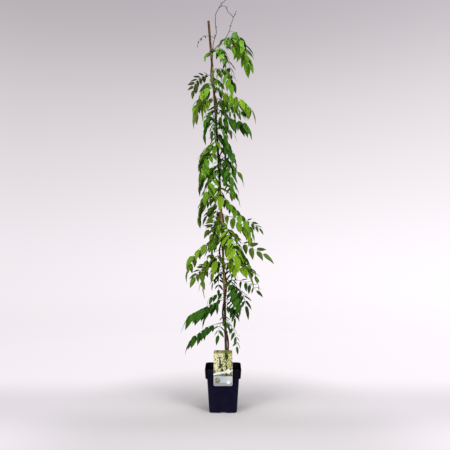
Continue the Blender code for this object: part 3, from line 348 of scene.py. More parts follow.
class Sheet:
    """A node tree that a finish or a shader group is laid out on, one step a call."""

    def __init__(self, tree):
        self.tree = tree
        tree.nodes.clear()

    def put(self, kind, feeds=None, **settings):
        node = self.tree.nodes.new(kind)
        for setting, value in settings.items():
            setattr(node, setting, value)
        for socket, value in (feeds or {}).items():
            self.feed(node.inputs[socket], value)
        return node

    def feed(self, socket, value):
        if isinstance(value, bpy.types.NodeSocket):
            self.tree.links.new(value, socket)
        elif socket.type == "RGBA" and len(value) == 3:
            socket.default_value = (*value, 1.0)
        else:
            socket.default_value = value

    def math(self, operation, a, b=0.0, c=0.0, clamp=False):
        return self.put("ShaderNodeMath", {0: a, 1: b, 2: c}, operation=operation, use_clamp=clamp).outputs[0]

    def add(self, a, b):
        return self.math("ADD", a, b)

    def times(self, a, b):
        return self.math("MULTIPLY", a, b)

    def rest(self, a):
        """What is left of 1."""
        return self.math("SUBTRACT", 1.0, a)

    def absolute(self, a):
        return self.math("ABSOLUTE", a)

    def vector(self, operation, a, b):
        outputs = self.put("ShaderNodeVectorMath", {0: a, 1: b}, operation=operation).outputs
        return outputs["Value" if operation == "DISTANCE" else "Vector"]

    def spread(self, value, low, high, to_low=0.0, to_high=1.0, smooth=True):
        """The value's share of the way from low to high, held to the range to_low to to_high."""
        kind = "SMOOTHSTEP" if smooth else "LINEAR"
        feeds = {0: value, 1: low, 2: high, 3: to_low, 4: to_high}
        return self.put("ShaderNodeMapRange", feeds, interpolation_type=kind).outputs[0]

    def blend(self, share, a, b, mode="MIX"):
        node = self.put("ShaderNodeMix", data_type="RGBA", blend_type=mode, clamp_factor=True)
        for number, value in ((0, share), (6, a), (7, b)):
            self.feed(node.inputs[number], value)
        return node.outputs[2]

    def noise(self, place, scale, detail=3.0, roughness=0.55):
        feeds = {"Vector": place, "Scale": scale, "Detail": detail, "Roughness": roughness}
        return self.put("ShaderNodeTexNoise", feeds).outputs["Fac"]

    def place(self):
        """Where the point is in the object's own space, in metres."""
        return self.put("ShaderNodeTexCoord").outputs["Object"]

    def parts(self, vector):
        return self.put("ShaderNodeSeparateXYZ", {0: vector}).outputs

    def joined(self, x, y, z):
        return self.put("ShaderNodeCombineXYZ", {0: x, 1: y, 2: z}).outputs[0]

    def group(self, name, **feeds):
        node = self.put("ShaderNodeGroup", node_tree=bpy.data.node_groups[name])
        for socket, value in feeds.items():
            self.feed(node.inputs[socket.replace("_", " ")], value)
        return node.outputs

    def relief(self, height, depth):
        """A normal bent by a height of 0 to 1 that stands for this many metres."""
        feeds = {"Height": height, "Distance": depth, "Strength": 1.0}
        return self.put("ShaderNodeBump", feeds).outputs["Normal"]

    def patches(self, place, scale, low, high):
        return self.group("cloudy patches", Position=place, Scale=scale, Low=low, High=high)["Patches"]

    def grain(self, place, scale, unevenness):
        return self.group("fine grain", Position=place, Scale=scale, Unevenness=unevenness)["Grain"]

    def dust(self, place, scale, cover):
        return self.group("settled dust", Position=place, Scale=scale, Cover=cover)["Dust"]

    def streaks(self, place, scale, stretch):
        """The streaks and the fibres of a surface drawn out along Z."""
        return self.group("long streaks", Position=place, Scale=scale, Stretch=stretch)


KINDS = {float: "NodeSocketFloat", tuple: "NodeSocketVector"}
ORIGIN = BLACK = (0.0, 0.0, 0.0)


def shader_group(name, takes, gives):
    """A new shader group: its sheet, the sockets that it takes, and a call that sets what it gives."""
    tree = bpy.data.node_groups.new(name, "ShaderNodeTree")
    for socket, value in takes.items():
        made = tree.interface.new_socket(name=socket, in_out="INPUT", socket_type=KINDS[type(value)])
        made.default_value = value
    for socket in gives:
        tree.interface.new_socket(name=socket, in_out="OUTPUT", socket_type="NodeSocketFloat")
    sheet = Sheet(tree)
    return sheet, sheet.put("NodeGroupInput").outputs, lambda **feeds: sheet.put("NodeGroupOutput", feeds)


def build_shader_groups():
    sheet, takes, give = shader_group(
        "cloudy patches", {"Position": ORIGIN, "Scale": 40.0, "Low": 0.35, "High": 0.65}, ["Patches"])
    cloud = sheet.noise(takes["Position"], takes["Scale"], 4.0, 0.6)
    give(Patches=sheet.spread(cloud, takes["Low"], takes["High"]))

    sheet, takes, give = shader_group(
        "long streaks", {"Position": ORIGIN, "Scale": 400.0, "Stretch": 20.0}, ["Streaks", "Fibres"])
    parts = sheet.parts(takes["Position"])
    along = sheet.math("DIVIDE", parts[2], takes["Stretch"])
    drawn_out = sheet.joined(parts[0], parts[1], along)
    broad = sheet.noise(drawn_out, takes["Scale"], 3.0, 0.5)
    fine = sheet.noise(drawn_out, sheet.times(takes["Scale"], 3.7), 2.0, 0.6)
    fibres = sheet.add(sheet.times(broad, 0.6), sheet.times(fine, 0.4))
    give(Streaks=sheet.spread(broad, 0.32, 0.68), Fibres=fibres)

    sheet, takes, give = shader_group(
        "fine grain", {"Position": ORIGIN, "Scale": 1500.0, "Unevenness": 0.3}, ["Grain"])
    grain = sheet.noise(takes["Position"], takes["Scale"], 2.0, 0.65)
    swell = sheet.noise(takes["Position"], sheet.times(takes["Scale"], 0.06), 2.0, 0.5)
    rest = sheet.rest(takes["Unevenness"])
    give(Grain=sheet.add(sheet.times(grain, rest), sheet.times(swell, takes["Unevenness"])))

    sheet, takes, give = shader_group(
        "settled dust", {"Position": ORIGIN, "Scale": 60.0, "Cover": 0.5}, ["Dust"])
    facing = sheet.parts(sheet.put("ShaderNodeNewGeometry").outputs["Normal"])[2]
    ledges = sheet.spread(facing, 0.15, 0.95)
    cloud = sheet.spread(sheet.noise(takes["Position"], takes["Scale"], 5.0, 0.65), 0.35, 0.7)
    give(Dust=sheet.times(sheet.times(sheet.add(sheet.times(ledges, 0.8), 0.2), cloud), takes["Cover"]))

    sheet, takes, give = shader_group(
        "leaf veins", {"Across": 0.5, "Along": 0.5, "Pairs": 8.0, "Slant": 1.7}, ["Vein", "Quilting"])
    signed = sheet.math("MULTIPLY_ADD", takes["Across"], 2.0, -1.0)
    out = sheet.absolute(signed)
    narrow = sheet.math("MULTIPLY_ADD", takes["Along"], -0.05, 0.10)
    midrib = sheet.rest(sheet.spread(out, sheet.times(narrow, 0.3), narrow))
    other_hand = sheet.times(sheet.math("GREATER_THAN", signed, 0.0), 0.45)
    curved = sheet.math("POWER", out, 1.25)
    steps = sheet.add(sheet.times(takes["Along"], takes["Pairs"]), other_hand)
    phase = sheet.math("FRACT", sheet.math("SUBTRACT", steps, sheet.times(curved, takes["Slant"])))
    valley = sheet.absolute(sheet.math("MULTIPLY_ADD", phase, 2.0, -1.0))
    side = sheet.spread(valley, 0.86, 1.0)
    fading = sheet.rest(sheet.math("POWER", out, 2.5))
    side = sheet.times(sheet.times(side, fading), 0.55)
    pillow = sheet.times(sheet.rest(sheet.math("POWER", valley, 2.0)), fading)
    quilting = sheet.math("SUBTRACT", pillow, sheet.times(midrib, 0.8))
    give(Vein=sheet.math("MAXIMUM", midrib, side), Quilting=quilting)


# Finishes


def new_finish(name, roughness, **constants):
    """A material with one plain shader, and the sheet that the steps of its finish are laid out on."""
    made = bpy.data.materials.new(name)
    made.use_nodes = True
    sheet = Sheet(made.node_tree)
    feeds = {"Roughness": roughness}
    for socket, value in constants.items():
        feeds[socket.replace("_", " ")] = value
    shader = sheet.put("ShaderNodeBsdfPrincipled", feeds)
    sheet.put("ShaderNodeOutputMaterial", {"Surface": shader.outputs["BSDF"]})
    return made, sheet, shader.inputs


def pot_plastic():
    """Black plastic with a blue cast: an even moulded skin and a little dried splash."""
    made, sheet, shader = new_finish("pot plastic", 0.42, Specular_IOR_Level=0.06)
    place = sheet.place()
    across, deep, height = sheet.parts(place)
    skin = sheet.grain(place, 1900.0, 0.35)
    cloud = sheet.patches(place, 26.0, 0.30, 0.75)
    dust = sheet.dust(place, 45.0, 0.25)
    collar = sheet.spread(height, 0.158, 0.166)
    body = sheet.blend(cloud, (0.0034, 0.0031, 0.0150), (0.0056, 0.0050, 0.0215))
    rim = sheet.blend(cloud, (0.0028, 0.0028, 0.0085), (0.0052, 0.0050, 0.0150))
    color = sheet.blend(collar, body, rim)
    # Painted shade: the inside wall above the collar step is darkened to near black
    from_axis = sheet.math("MAXIMUM", sheet.absolute(across), sheet.absolute(deep))
    inner_wall_shade = sheet.spread(from_axis, RIM_HALF - 0.6 * WALL, COLLAR_LOW_HALF - 1.1 * WALL)
    color = sheet.blend(sheet.times(inner_wall_shade, collar), color, (0.0012, 0.0013, 0.0022))
    splash_zone = sheet.spread(height, 0.030, 0.0, 0.0, 0.5)
    splash = sheet.patches(place, 210.0, 0.58, 0.72)
    color = sheet.blend(sheet.times(splash, splash_zone), color, (0.030, 0.027, 0.028))
    color = sheet.blend(dust, color, (0.030, 0.028, 0.032))
    sheet.feed(shader["Base Color"], color)
    rough = sheet.add(sheet.spread(cloud, 0.0, 1.0, 0.40, 0.54), sheet.times(dust, 0.3))
    sheet.feed(shader["Roughness"], rough)
    sheet.feed(shader["Normal"], sheet.relief(skin, 0.00006))
    return made


def potting_soil():
    """Dark damp peat with paler dry crumbs."""
    made, sheet, shader = new_finish("potting soil", 0.95, Specular_IOR_Level=0.2)
    place = sheet.place()
    grit = sheet.grain(place, 900.0, 0.4)
    damp = sheet.patches(place, 55.0, 0.38, 0.62)
    fleck = sheet.patches(place, 480.0, 0.60, 0.68)
    color = sheet.blend(damp, (0.012, 0.008, 0.005), (0.034, 0.023, 0.014))
    color = sheet.blend(sheet.times(fleck, 0.6), color, (0.095, 0.064, 0.038))
    sheet.feed(shader["Base Color"], color)
    sheet.feed(shader["Roughness"], sheet.spread(damp, 0.0, 1.0, 0.82, 0.97))
    sheet.feed(shader["Normal"], sheet.relief(grit, 0.0012))
    return made


def bark_chip():
    made, sheet, shader = new_finish("bark chip", 0.9, Specular_IOR_Level=0.2)
    place = sheet.place()
    layers = sheet.streaks(place, 260.0, 0.25)
    cloud = sheet.patches(place, 120.0, 0.35, 0.65)
    color = sheet.blend(layers["Streaks"], (0.040, 0.020, 0.010), (0.120, 0.066, 0.034))
    color = sheet.blend(sheet.times(cloud, 0.5), color, (0.030, 0.020, 0.014))
    sheet.feed(shader["Base Color"], color)
    sheet.feed(shader["Normal"], sheet.relief(layers["Fibres"], 0.0006))
    return made


def bamboo():
    """Dry bamboo: a waxy straw skin in fine streaks, darker brown towards the foot, painted shade in near
    black and dark brown up the middle, and a rusty top.
    """
    made, sheet, shader = new_finish("bamboo", 0.45, Specular_IOR_Level=0.12)
    place = sheet.place()
    height = sheet.parts(place)[2]
    grain = sheet.streaks(place, 620.0, 45.0)
    blotch = sheet.patches(place, 34.0, 0.42, 0.62)
    fleck = sheet.patches(place, 330.0, 0.60, 0.70)
    straw = sheet.blend(grain["Streaks"], (0.27, 0.165, 0.060), (0.48, 0.31, 0.13))
    straw = sheet.blend(sheet.times(blotch, 0.65), straw, (0.17, 0.105, 0.045))
    brown_and_painted_shade = sheet.blend(grain["Streaks"], (0.055, 0.030, 0.016), (0.130, 0.075, 0.040))
    painted_shade_dark = sheet.blend(grain["Streaks"], (0.018, 0.011, 0.008), (0.050, 0.032, 0.020))
    rusty = sheet.blend(grain["Streaks"], (0.062, 0.022, 0.008), (0.150, 0.058, 0.018))
    level = sheet.add(height, sheet.times(sheet.noise(place, 9.0, 2.0), 0.16))
    # Painted shade: up the middle of the cane, where the leaves shade it, the colour goes near black and then
    # dark brown; the same dark brown also colours the foot of the cane
    color = sheet.blend(sheet.spread(level, 0.56, 0.68), brown_and_painted_shade, straw)
    color = sheet.blend(sheet.spread(level, 1.10, 1.20), color, painted_shade_dark)
    color = sheet.blend(sheet.spread(level, 1.42, 1.52), color, brown_and_painted_shade)
    color = sheet.blend(sheet.spread(level, 1.62, 1.70), color, straw)
    color = sheet.blend(sheet.spread(level, 1.80, 1.87), color, rusty)
    spot = sheet.patches(place, 95.0, 0.53, 0.60)
    spotted = sheet.times(spot, sheet.spread(level, 1.62, 1.80, 0.25, 0.85))
    color = sheet.blend(spotted, color, (0.022, 0.010, 0.007))
    ring = None
    for joint in CANE_JOINTS:
        off = sheet.absolute(sheet.math("SUBTRACT", height, joint))
        near = sheet.rest(sheet.spread(off, 0.0008, 0.0036))
        ring = near if ring is None else sheet.math("MAXIMUM", ring, near)
    color = sheet.blend(sheet.times(ring, 0.75), color, (0.050, 0.028, 0.015))
    color = sheet.blend(sheet.times(fleck, 0.45), color, (0.070, 0.040, 0.020))
    sheet.feed(shader["Base Color"], color)
    sheet.feed(shader["Roughness"], sheet.spread(blotch, 0.0, 1.0, 0.38, 0.60))
    sheet.feed(shader["Normal"], sheet.relief(grain["Fibres"], 0.00025))
    return made


def cut_end():
    """The sawn end of the cane, pale and fibrous round its dark hollow."""
    made, sheet, shader = new_finish("cane cut end", 0.85)
    place = sheet.place()
    pores = sheet.patches(place, 1900.0, 0.50, 0.62)
    cloud = sheet.patches(place, 240.0, 0.35, 0.65)
    color = sheet.blend(cloud, (0.36, 0.24, 0.13), (0.50, 0.37, 0.21))
    color = sheet.blend(pores, color, (0.13, 0.075, 0.040))
    sheet.feed(shader["Base Color"], color)
    sheet.feed(shader["Normal"], sheet.relief(pores, 0.0002))
    return made


def woody_bark():
    """Young wisteria bark: grey-brown with fissures, green near the top, and pale corky spots."""
    made, sheet, shader = new_finish("woody bark", 0.82, Specular_IOR_Level=0.15)
    place = sheet.place()
    height = sheet.parts(place)[2]
    grain = sheet.streaks(place, 520.0, 7.0)
    patch = sheet.patches(place, 70.0, 0.38, 0.62)
    corky = sheet.patches(place, 620.0, 0.64, 0.70)
    wood = sheet.blend(grain["Streaks"], (0.022, 0.013, 0.009), (0.075, 0.045, 0.030))
    wood = sheet.blend(sheet.times(patch, 0.6), wood, (0.090, 0.070, 0.056))
    green_wood = sheet.blend(grain["Streaks"], (0.020, 0.020, 0.009), (0.060, 0.056, 0.024))
    color = sheet.blend(sheet.spread(height, 1.0, 1.6), wood, green_wood)
    color = sheet.blend(sheet.times(corky, 0.7), color, (0.210, 0.165, 0.115))
    sheet.feed(shader["Base Color"], color)
    sheet.feed(shader["Roughness"], sheet.spread(patch, 0.0, 1.0, 0.72, 0.90))
    sheet.feed(shader["Normal"], sheet.relief(grain["Fibres"], 0.0008))
    return made


def thin_shoot():
    """Thin shoots of the season: dull purple-brown with a green side."""
    made, sheet, shader = new_finish("thin shoot", 0.6, Specular_IOR_Level=0.15)
    place = sheet.place()
    grain = sheet.streaks(place, 700.0, 9.0)
    patch = sheet.patches(place, 60.0, 0.40, 0.60)
    color = sheet.blend(grain["Streaks"], (0.012, 0.008, 0.010), (0.038, 0.027, 0.026))
    color = sheet.blend(sheet.times(patch, 0.45), color, (0.030, 0.038, 0.018))
    sheet.feed(shader["Base Color"], color)
    sheet.feed(shader["Normal"], sheet.relief(grain["Fibres"], 0.0003))
    return made


def soft_tie():
    """Soft black-green plant tie, slightly ribbed along its length and dulled by weather."""
    made, sheet, shader = new_finish("soft tie", 0.5, Specular_IOR_Level=0.4)
    place = sheet.place()
    cloud = sheet.patches(place, 180.0, 0.35, 0.65)
    dust = sheet.dust(place, 200.0, 0.5)
    grain = sheet.grain(place, 2600.0, 0.3)
    color = sheet.blend(cloud, (0.006, 0.008, 0.007), (0.015, 0.018, 0.016))
    color = sheet.blend(dust, color, (0.050, 0.048, 0.042))
    sheet.feed(shader["Base Color"], color)
    sheet.feed(shader["Roughness"], sheet.spread(cloud, 0.0, 1.0, 0.42, 0.60))
    sheet.feed(shader["Normal"], sheet.relief(grain, 0.0001))
    return made


def blossoms(sheet, place, scale, petal_color, eye_color, ground, cover):
    """Round five-petalled blossoms scattered over a ground colour."""
    feeds = {"Vector": place, "Scale": scale, "Randomness": 0.85}
    cells = sheet.put("ShaderNodeTexVoronoi", feeds, voronoi_dimensions="2D", feature="F1").outputs
    offset = sheet.vector("SUBTRACT", place, cells["Position"])
    parts = sheet.parts(offset)
    around = sheet.math("ARCTAN2", parts[1], parts[0])
    pick = sheet.parts(cells["Color"])
    lobes = sheet.math("COSINE", sheet.math("MULTIPLY_ADD", around, 5.0, sheet.times(pick[2], 6.0)))
    reach = sheet.math("MULTIPLY_ADD", lobes, 0.085, 0.44)
    inside = sheet.rest(sheet.spread(cells["Distance"], sheet.times(reach, 0.90), reach))
    kept = sheet.math("LESS_THAN", pick[0], cover)
    shade = sheet.spread(cells["Distance"], 0.0, 0.45, 0.0, 1.0)
    shaded = sheet.blend(pick[1], (0.86, 0.83, 0.62), (0.40, 0.37, 0.12))
    petals = sheet.blend(sheet.times(shade, 0.55), petal_color, shaded)
    eye = sheet.rest(sheet.spread(cells["Distance"], 0.06, 0.13))
    petals = sheet.blend(eye, petals, eye_color)
    return sheet.blend(sheet.times(inside, kept), ground, petals)


def printed_card():
    """Glossy print: cream blossoms on dark foliage above, a pale blue panel below, and worn white edges."""
    made, sheet, shader = new_finish("printed card", 0.28, Specular_IOR_Level=0.45)
    place = sheet.place()
    across, _, height = sheet.parts(place)
    flat = sheet.joined(across, height, 0.0)
    leafy = sheet.patches(flat, 95.0, 0.42, 0.60)
    ground = sheet.blend(leafy, (0.006, 0.012, 0.005), (0.050, 0.085, 0.018))
    top_right = sheet.times(sheet.spread(height, 0.262, 0.288), sheet.spread(across, -0.012, 0.012))
    lit = sheet.blend(leafy, (0.020, 0.045, 0.010), (0.105, 0.150, 0.030))
    ground = sheet.blend(sheet.times(top_right, 0.75), ground, lit)
    hanging = sheet.noise(sheet.joined(across, sheet.times(height, 0.30), 0.0), 46.0, 3.0, 0.6)
    bunches = sheet.spread(hanging, 0.42, 0.53)
    top_edge = sheet.spread(sheet.add(height, sheet.times(hanging, 0.02)), 0.286, 0.300, 1.0, 0.0)
    cover = sheet.times(sheet.times(bunches, top_edge), sheet.spread(height, 0.186, 0.190))
    warm = sheet.spread(across, -0.02, 0.036)
    cream = sheet.blend(warm, (0.93, 0.88, 0.60), (0.62, 0.60, 0.22))
    dots = sheet.blend(warm, (0.46, 0.43, 0.18), (0.24, 0.26, 0.05))
    ground = sheet.blend(sheet.times(bunches, 0.55), ground, dots)
    art = blossoms(sheet, flat, 118.0, cream, (0.30, 0.28, 0.05), ground, cover)
    shifted = sheet.vector("ADD", flat, (0.371, 0.173, 0.0))
    art = blossoms(sheet, shifted, 165.0, cream, (0.42, 0.36, 0.10), art, sheet.times(cover, 0.5))

    cool = sheet.spread(sheet.noise(flat, 22.0, 1.0), 0.35, 0.65)
    panel = sheet.blend(cool, (0.62, 0.63, 0.63), (0.42, 0.50, 0.60))
    hill = sheet.add(height, sheet.times(sheet.noise(sheet.joined(across, 0.0, 0.0), 34.0, 1.0), -0.018))
    panel = sheet.blend(sheet.spread(hill, 0.1405, 0.1385), panel, (0.36, 0.34, 0.36))
    patch = sheet.vector("DISTANCE", flat, (-0.0265, 0.158, 0.0))
    mossy = sheet.blend(leafy, (0.19, 0.18, 0.10), (0.40, 0.38, 0.26))
    panel = sheet.blend(sheet.spread(patch, 0.0145, 0.0135), panel, mossy)
    bloom = sheet.vector("DISTANCE", flat, (0.0255, 0.150, 0.0))
    panel = sheet.blend(sheet.spread(bloom, 0.0100, 0.0080), panel, (0.84, 0.84, 0.84))
    art = sheet.blend(sheet.spread(height, 0.1785, 0.1779, smooth=False), art, panel)

    edge = sheet.spread(sheet.absolute(across), 0.0428, 0.0434, smooth=False)
    color = sheet.blend(sheet.times(edge, 0.8), art, (0.70, 0.70, 0.62))
    scuff = sheet.patches(place, 260.0, 0.62, 0.72)
    color = sheet.blend(sheet.times(scuff, 0.10), color, (0.72, 0.72, 0.70))
    sheet.feed(shader["Base Color"], color)
    sheet.feed(shader["Roughness"], sheet.spread(scuff, 0.0, 1.0, 0.26, 0.48))
    ripple = sheet.grain(place, 700.0, 0.6)
    sheet.feed(shader["Normal"], sheet.relief(ripple, 0.00004))
    return made


def card_back():
    """The unprinted back and cut edge of the card."""
    made, sheet, shader = new_finish("card back", 0.5)
    place = sheet.place()
    cloud = sheet.patches(place, 60.0, 0.35, 0.70)
    grain = sheet.grain(place, 1600.0, 0.3)
    sheet.feed(shader["Base Color"], sheet.blend(cloud, (0.70, 0.70, 0.67), (0.62, 0.61, 0.56)))
    sheet.feed(shader["Roughness"], sheet.spread(cloud, 0.0, 1.0, 0.45, 0.58))
    sheet.feed(shader["Normal"], sheet.relief(grain, 0.00004))
    return made


def white_clip():
    """White moulded plastic with a fine matt skin, and a little grime in scattered patches."""
    made, sheet, shader = new_finish("white clip", 0.4, Specular_IOR_Level=0.45)
    place = sheet.place()
    grain = sheet.grain(place, 2200.0, 0.4)
    grime = sheet.patches(place, 320.0, 0.55, 0.75)
    dust = sheet.dust(place, 160.0, 0.25)
    color = sheet.blend(sheet.times(grime, 0.30), (0.86, 0.87, 0.85), (0.62, 0.60, 0.54))
    color = sheet.blend(dust, color, (0.55, 0.52, 0.46))
    sheet.feed(shader["Base Color"], color)
    sheet.feed(shader["Roughness"], sheet.spread(grime, 0.0, 1.0, 0.36, 0.52))
    sheet.feed(shader["Normal"], sheet.relief(grain, 0.00005))
    return made


# The colours (linear) between which the leaflets of each tone lie: upper face, then underside
LEAF_TONES = {
    "young": (((0.055, 0.160, 0.004), (0.240, 0.400, 0.016)), ((0.130, 0.235, 0.030), (0.230, 0.340, 0.050))),
    "fresh": (((0.026, 0.105, 0.003), (0.150, 0.315, 0.011)), ((0.085, 0.170, 0.024), (0.150, 0.245, 0.038))),
    # The dark tone is partly the deeper green of older leaves and partly painted shade, for leaves that sit
    # in shade deep inside the plant
    "dark": (((0.005, 0.040, 0.002), (0.052, 0.165, 0.006)), ((0.030, 0.085, 0.012), (0.070, 0.150, 0.022))),
    "olive": (((0.026, 0.052, 0.008), (0.100, 0.150, 0.022)), ((0.050, 0.080, 0.022), (0.105, 0.140, 0.036))),
    "dusky": (((0.014, 0.024, 0.008), (0.055, 0.072, 0.020)), ((0.034, 0.050, 0.018), (0.070, 0.090, 0.030))),
}

# How strongly the tips of each tone's leaflets are tinged with red-brown
RUST = {"young": 0.65, "fresh": 0.40, "dark": 0.15, "olive": 0.50, "dusky": 0.60}


def leaf_face(tone, upper):
    """One face of the leaflets: green between the tone's two colours, with veins and a quilted surface."""
    name = f"leaf {tone} {'upper' if upper else 'underside'}"
    made, sheet, shader = new_finish(name, 0.45, Specular_IOR_Level=0.09 if upper else 0.04)
    low, high = LEAF_TONES[tone][0 if upper else 1]
    place = sheet.place()
    across, along, _ = sheet.parts(sheet.put("ShaderNodeUVMap", uv_map="leaf map").outputs["UV"])
    tint = sheet.put("ShaderNodeAttribute", attribute_name="tint").outputs["Fac"]
    veins = sheet.group("leaf veins", Across=across, Along=along, Pairs=9.0, Slant=1.5)
    mottle = sheet.patches(place, 150.0, 0.36, 0.66)
    share = sheet.add(sheet.times(tint, 0.75), sheet.times(mottle, 0.25))
    color = sheet.blend(share, low, high)
    edge = sheet.spread(sheet.absolute(sheet.math("MULTIPLY_ADD", across, 2.0, -1.0)), 0.86, 1.0)
    color = sheet.blend(sheet.times(edge, 0.35), color, tuple(0.55 * c for c in low))
    pale = tuple(1.30 * c + 0.006 for c in high)
    color = sheet.blend(sheet.times(veins["Vein"], 0.40 if upper else 0.60), color, pale)
    near_tip = sheet.spread(sheet.add(along, sheet.times(mottle, 0.25)), 0.72, 1.10)
    rusted = sheet.patches(place, 16.0, 0.50, 0.66)
    color = sheet.blend(sheet.times(sheet.times(near_tip, rusted), RUST[tone]), color, (0.120, 0.060, 0.012))
    sheet.feed(shader["Base Color"], color)
    wax = sheet.spread(mottle, 0.0, 1.0, 0.38, 0.50) if upper else sheet.spread(mottle, 0.0, 1.0, 0.60, 0.75)
    sheet.feed(shader["Roughness"], wax)
    sheet.feed(shader["Normal"], sheet.relief(veins["Quilting"], 0.0005 if upper else -0.0006))
    return made


def leaf_stalk(tone):
    made, sheet, shader = new_finish(f"leaf {tone} stalk", 0.5, Specular_IOR_Level=0.3)
    low, high = LEAF_TONES[tone][0]
    place = sheet.place()
    grain = sheet.streaks(place, 500.0, 3.0)
    flush = sheet.patches(place, 45.0, 0.50, 0.75)
    color = sheet.blend(grain["Streaks"], low, high)
    color = sheet.blend(sheet.times(flush, 0.5), color, (0.110, 0.060, 0.030))
    sheet.feed(shader["Base Color"], color)
    sheet.feed(shader["Normal"], sheet.relief(grain["Fibres"], 0.0002))
    return made


# Mesh helpers


class Shell:
    """Points and faces gathered for one piece, each face with the number of its finish."""

    def __init__(self):
        self.points, self.faces, self.finish = [], [], []
        self.uv, self.tint = [], []

    def add(self, points, faces, finish=0, uv=None, tint=0.5):
        """Adds points, and faces that number those points from 0."""
        first = len(self.points)
        self.points.extend(tuple(p) for p in points)
        self.faces.extend(tuple(first + i for i in f) for f in faces)
        self.finish.extend([finish] * len(faces) if np.isscalar(finish) else finish)
        self.uv.extend(uv if uv is not None else [(0.5, 0.5)] * len(points))
        self.tint.extend([tint] * len(points))

    def piece(self, name, finishes, replaced, sharp=50.0, leaf_map=False):
        mesh = bpy.data.meshes.new(name)
        mesh.from_pydata(self.points, [], self.faces)
        for finish in finishes:
            mesh.materials.append(finish)
        mesh.polygons.foreach_set("material_index", self.finish)
        if leaf_map:
            corners = np.empty(len(mesh.loops), np.int32)
            mesh.loops.foreach_get("vertex_index", corners)
            layer = mesh.uv_layers.new(name="leaf map")
            layer.uv.foreach_set("vector", np.array(self.uv, np.float32)[corners].ravel())
            tint = mesh.attributes.new("tint", "FLOAT", "POINT")
            tint.data.foreach_set("value", np.array(self.tint, np.float32))
        return finished(bpy.data.objects.new(name, mesh), replaced, sharp)


def finished(obj, replaced, sharp=50.0):
    """Links a piece, smooths it up to an angle, and sets it on the frame in place of its solids."""
    if not obj.users_collection:
        bpy.context.scene.collection.objects.link(obj)
    mesh = obj.data
    mesh.validate()
    mesh.shade_smooth()
    mesh.set_sharp_from_angle(angle=math.radians(sharp))
    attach(obj, BODY)
    if replaced:
        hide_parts(*replaced)
    return obj


def ring_faces(rings, sides, closed=False):
    """Quads between rings of points, and round from the last ring to the first if closed."""
    faces = []
    for ring in range(rings if closed else rings - 1):
        low, high = ring * sides, (ring + 1) % rings * sides
        for side in range(sides):
            beside = (side + 1) % sides
            faces.append((low + side, low + beside, high + beside, high + side))
    return faces


def tube(points, radii, sides=10, start=None, bumps=None):
    """The skin of a round tube along the points, with an end cap at each end: (points, faces)."""
    spots = [Vector(p) for p in points]
    across = Vector(start) if start is not None else Vector((1.0, 0.0, 0.0))
    skin = []
    for i, spot in enumerate(spots):
        tangent = (spots[min(i + 1, len(spots) - 1)] - spots[max(i - 1, 0)]).normalized()
        across = (across - tangent * across.dot(tangent)).normalized()
        up = tangent.cross(across)
        for side in range(sides):
            angle = math.tau * side / sides
            out = across * math.cos(angle) + up * math.sin(angle)
            radius = radii[i] * (bumps(spot, out) if bumps else 1.0)
            skin.append(spot + out * radius)
    faces = ring_faces(len(spots), sides)
    for ring, foot in ((0, spots[0]), (len(spots) - 1, spots[-1])):
        skin.append(foot)
        hub = len(skin) - 1
        for side in range(sides):
            a, b = ring * sides + side, ring * sides + (side + 1) % sides
            faces.append((hub, b, a) if ring == 0 else (hub, a, b))
    return skin, faces


def ribbon(path, width_ways, width, thick, closed=False, rounding=0.5):
    """A band with rounded edges swept along a path: width runs along width_ways, thickness across it."""
    spots = [Vector(p) for p in path]
    count = len(spots)
    half_wide, half_thick = width / 2, thick / 2
    soft = half_thick * rounding
    section = []
    for wide, high, start in ((1, 1, 0), (-1, 1, 90), (-1, -1, 180), (1, -1, 270)):
        for step in (0, 45, 90):
            angle = math.radians(start + step)
            section.append((wide * (half_wide - soft) + soft * math.cos(angle),
                            high * (half_thick - soft) + soft * math.sin(angle)))
    skin = []
    for i, spot in enumerate(spots):
        ahead = spots[(i + 1) % count] if closed else spots[min(i + 1, count - 1)]
        behind = spots[(i - 1) % count] if closed else spots[max(i - 1, 0)]
        tangent = (ahead - behind).normalized()
        wide = Vector(width_ways)
        wide = (wide - tangent * wide.dot(tangent)).normalized()
        high = tangent.cross(wide)
        skin.extend(spot + wide * w + high * h for w, h in section)
    faces = ring_faces(count, len(section), closed)
    if not closed:
        faces.append(tuple(range(len(section)))[::-1])
        faces.append(tuple(range((count - 1) * len(section), count * len(section))))
    return skin, faces


def turned(profile, steps=48):
    """A solid turned about Z from (radius, height) points that start and end on the axis."""
    inner = profile[1:-1]
    skin = []
    for radius, height in inner:
        for step in range(steps):
            angle = math.tau * step / steps
            skin.append((radius * math.cos(angle), radius * math.sin(angle), height))
    faces = ring_faces(len(inner), steps)
    for ring, (_, height) in ((0, profile[0]), (len(inner) - 1, profile[-1])):
        skin.append((0.0, 0.0, height))
        hub = len(skin) - 1
        for step in range(steps):
            a, b = ring * steps + step, ring * steps + (step + 1) % steps
            faces.append((hub, b, a) if ring == 0 else (hub, a, b))
    return skin, faces


def softened(corners, reach, steps=3):
    """A profile with each inner corner rounded off by a short curve within reach of it."""
    spots = [np.array(c, float) for c in corners]
    rows = [spots[0]]
    for before, corner, after in zip(spots, spots[1:], spots[2:]):
        back, ahead = before - corner, after - corner
        start = corner + back * min(0.45, reach / np.linalg.norm(back))
        end = corner + ahead * min(0.45, reach / np.linalg.norm(ahead))
        for step in range(steps + 1):
            t = step / steps
            rows.append((1 - t) ** 2 * start + 2 * t * (1 - t) * corner + t**2 * end)
    return rows + [spots[-1]]


# Paths, as in the solids


def cane_radius(z):
    share = (z - CANE_FOOT) / CANE_LENGTH
    return CANE_RADIUS + (CANE_TOP_RADIUS - CANE_RADIUS) * share


def cane_center(z):
    return Vector((CANE_BASE_X - CANE_LEAN * z - CANE_BOW * z * z, 0.0, z))


def bell(z, middle, width):
    return math.exp(-(((z - middle) / width) ** 2))


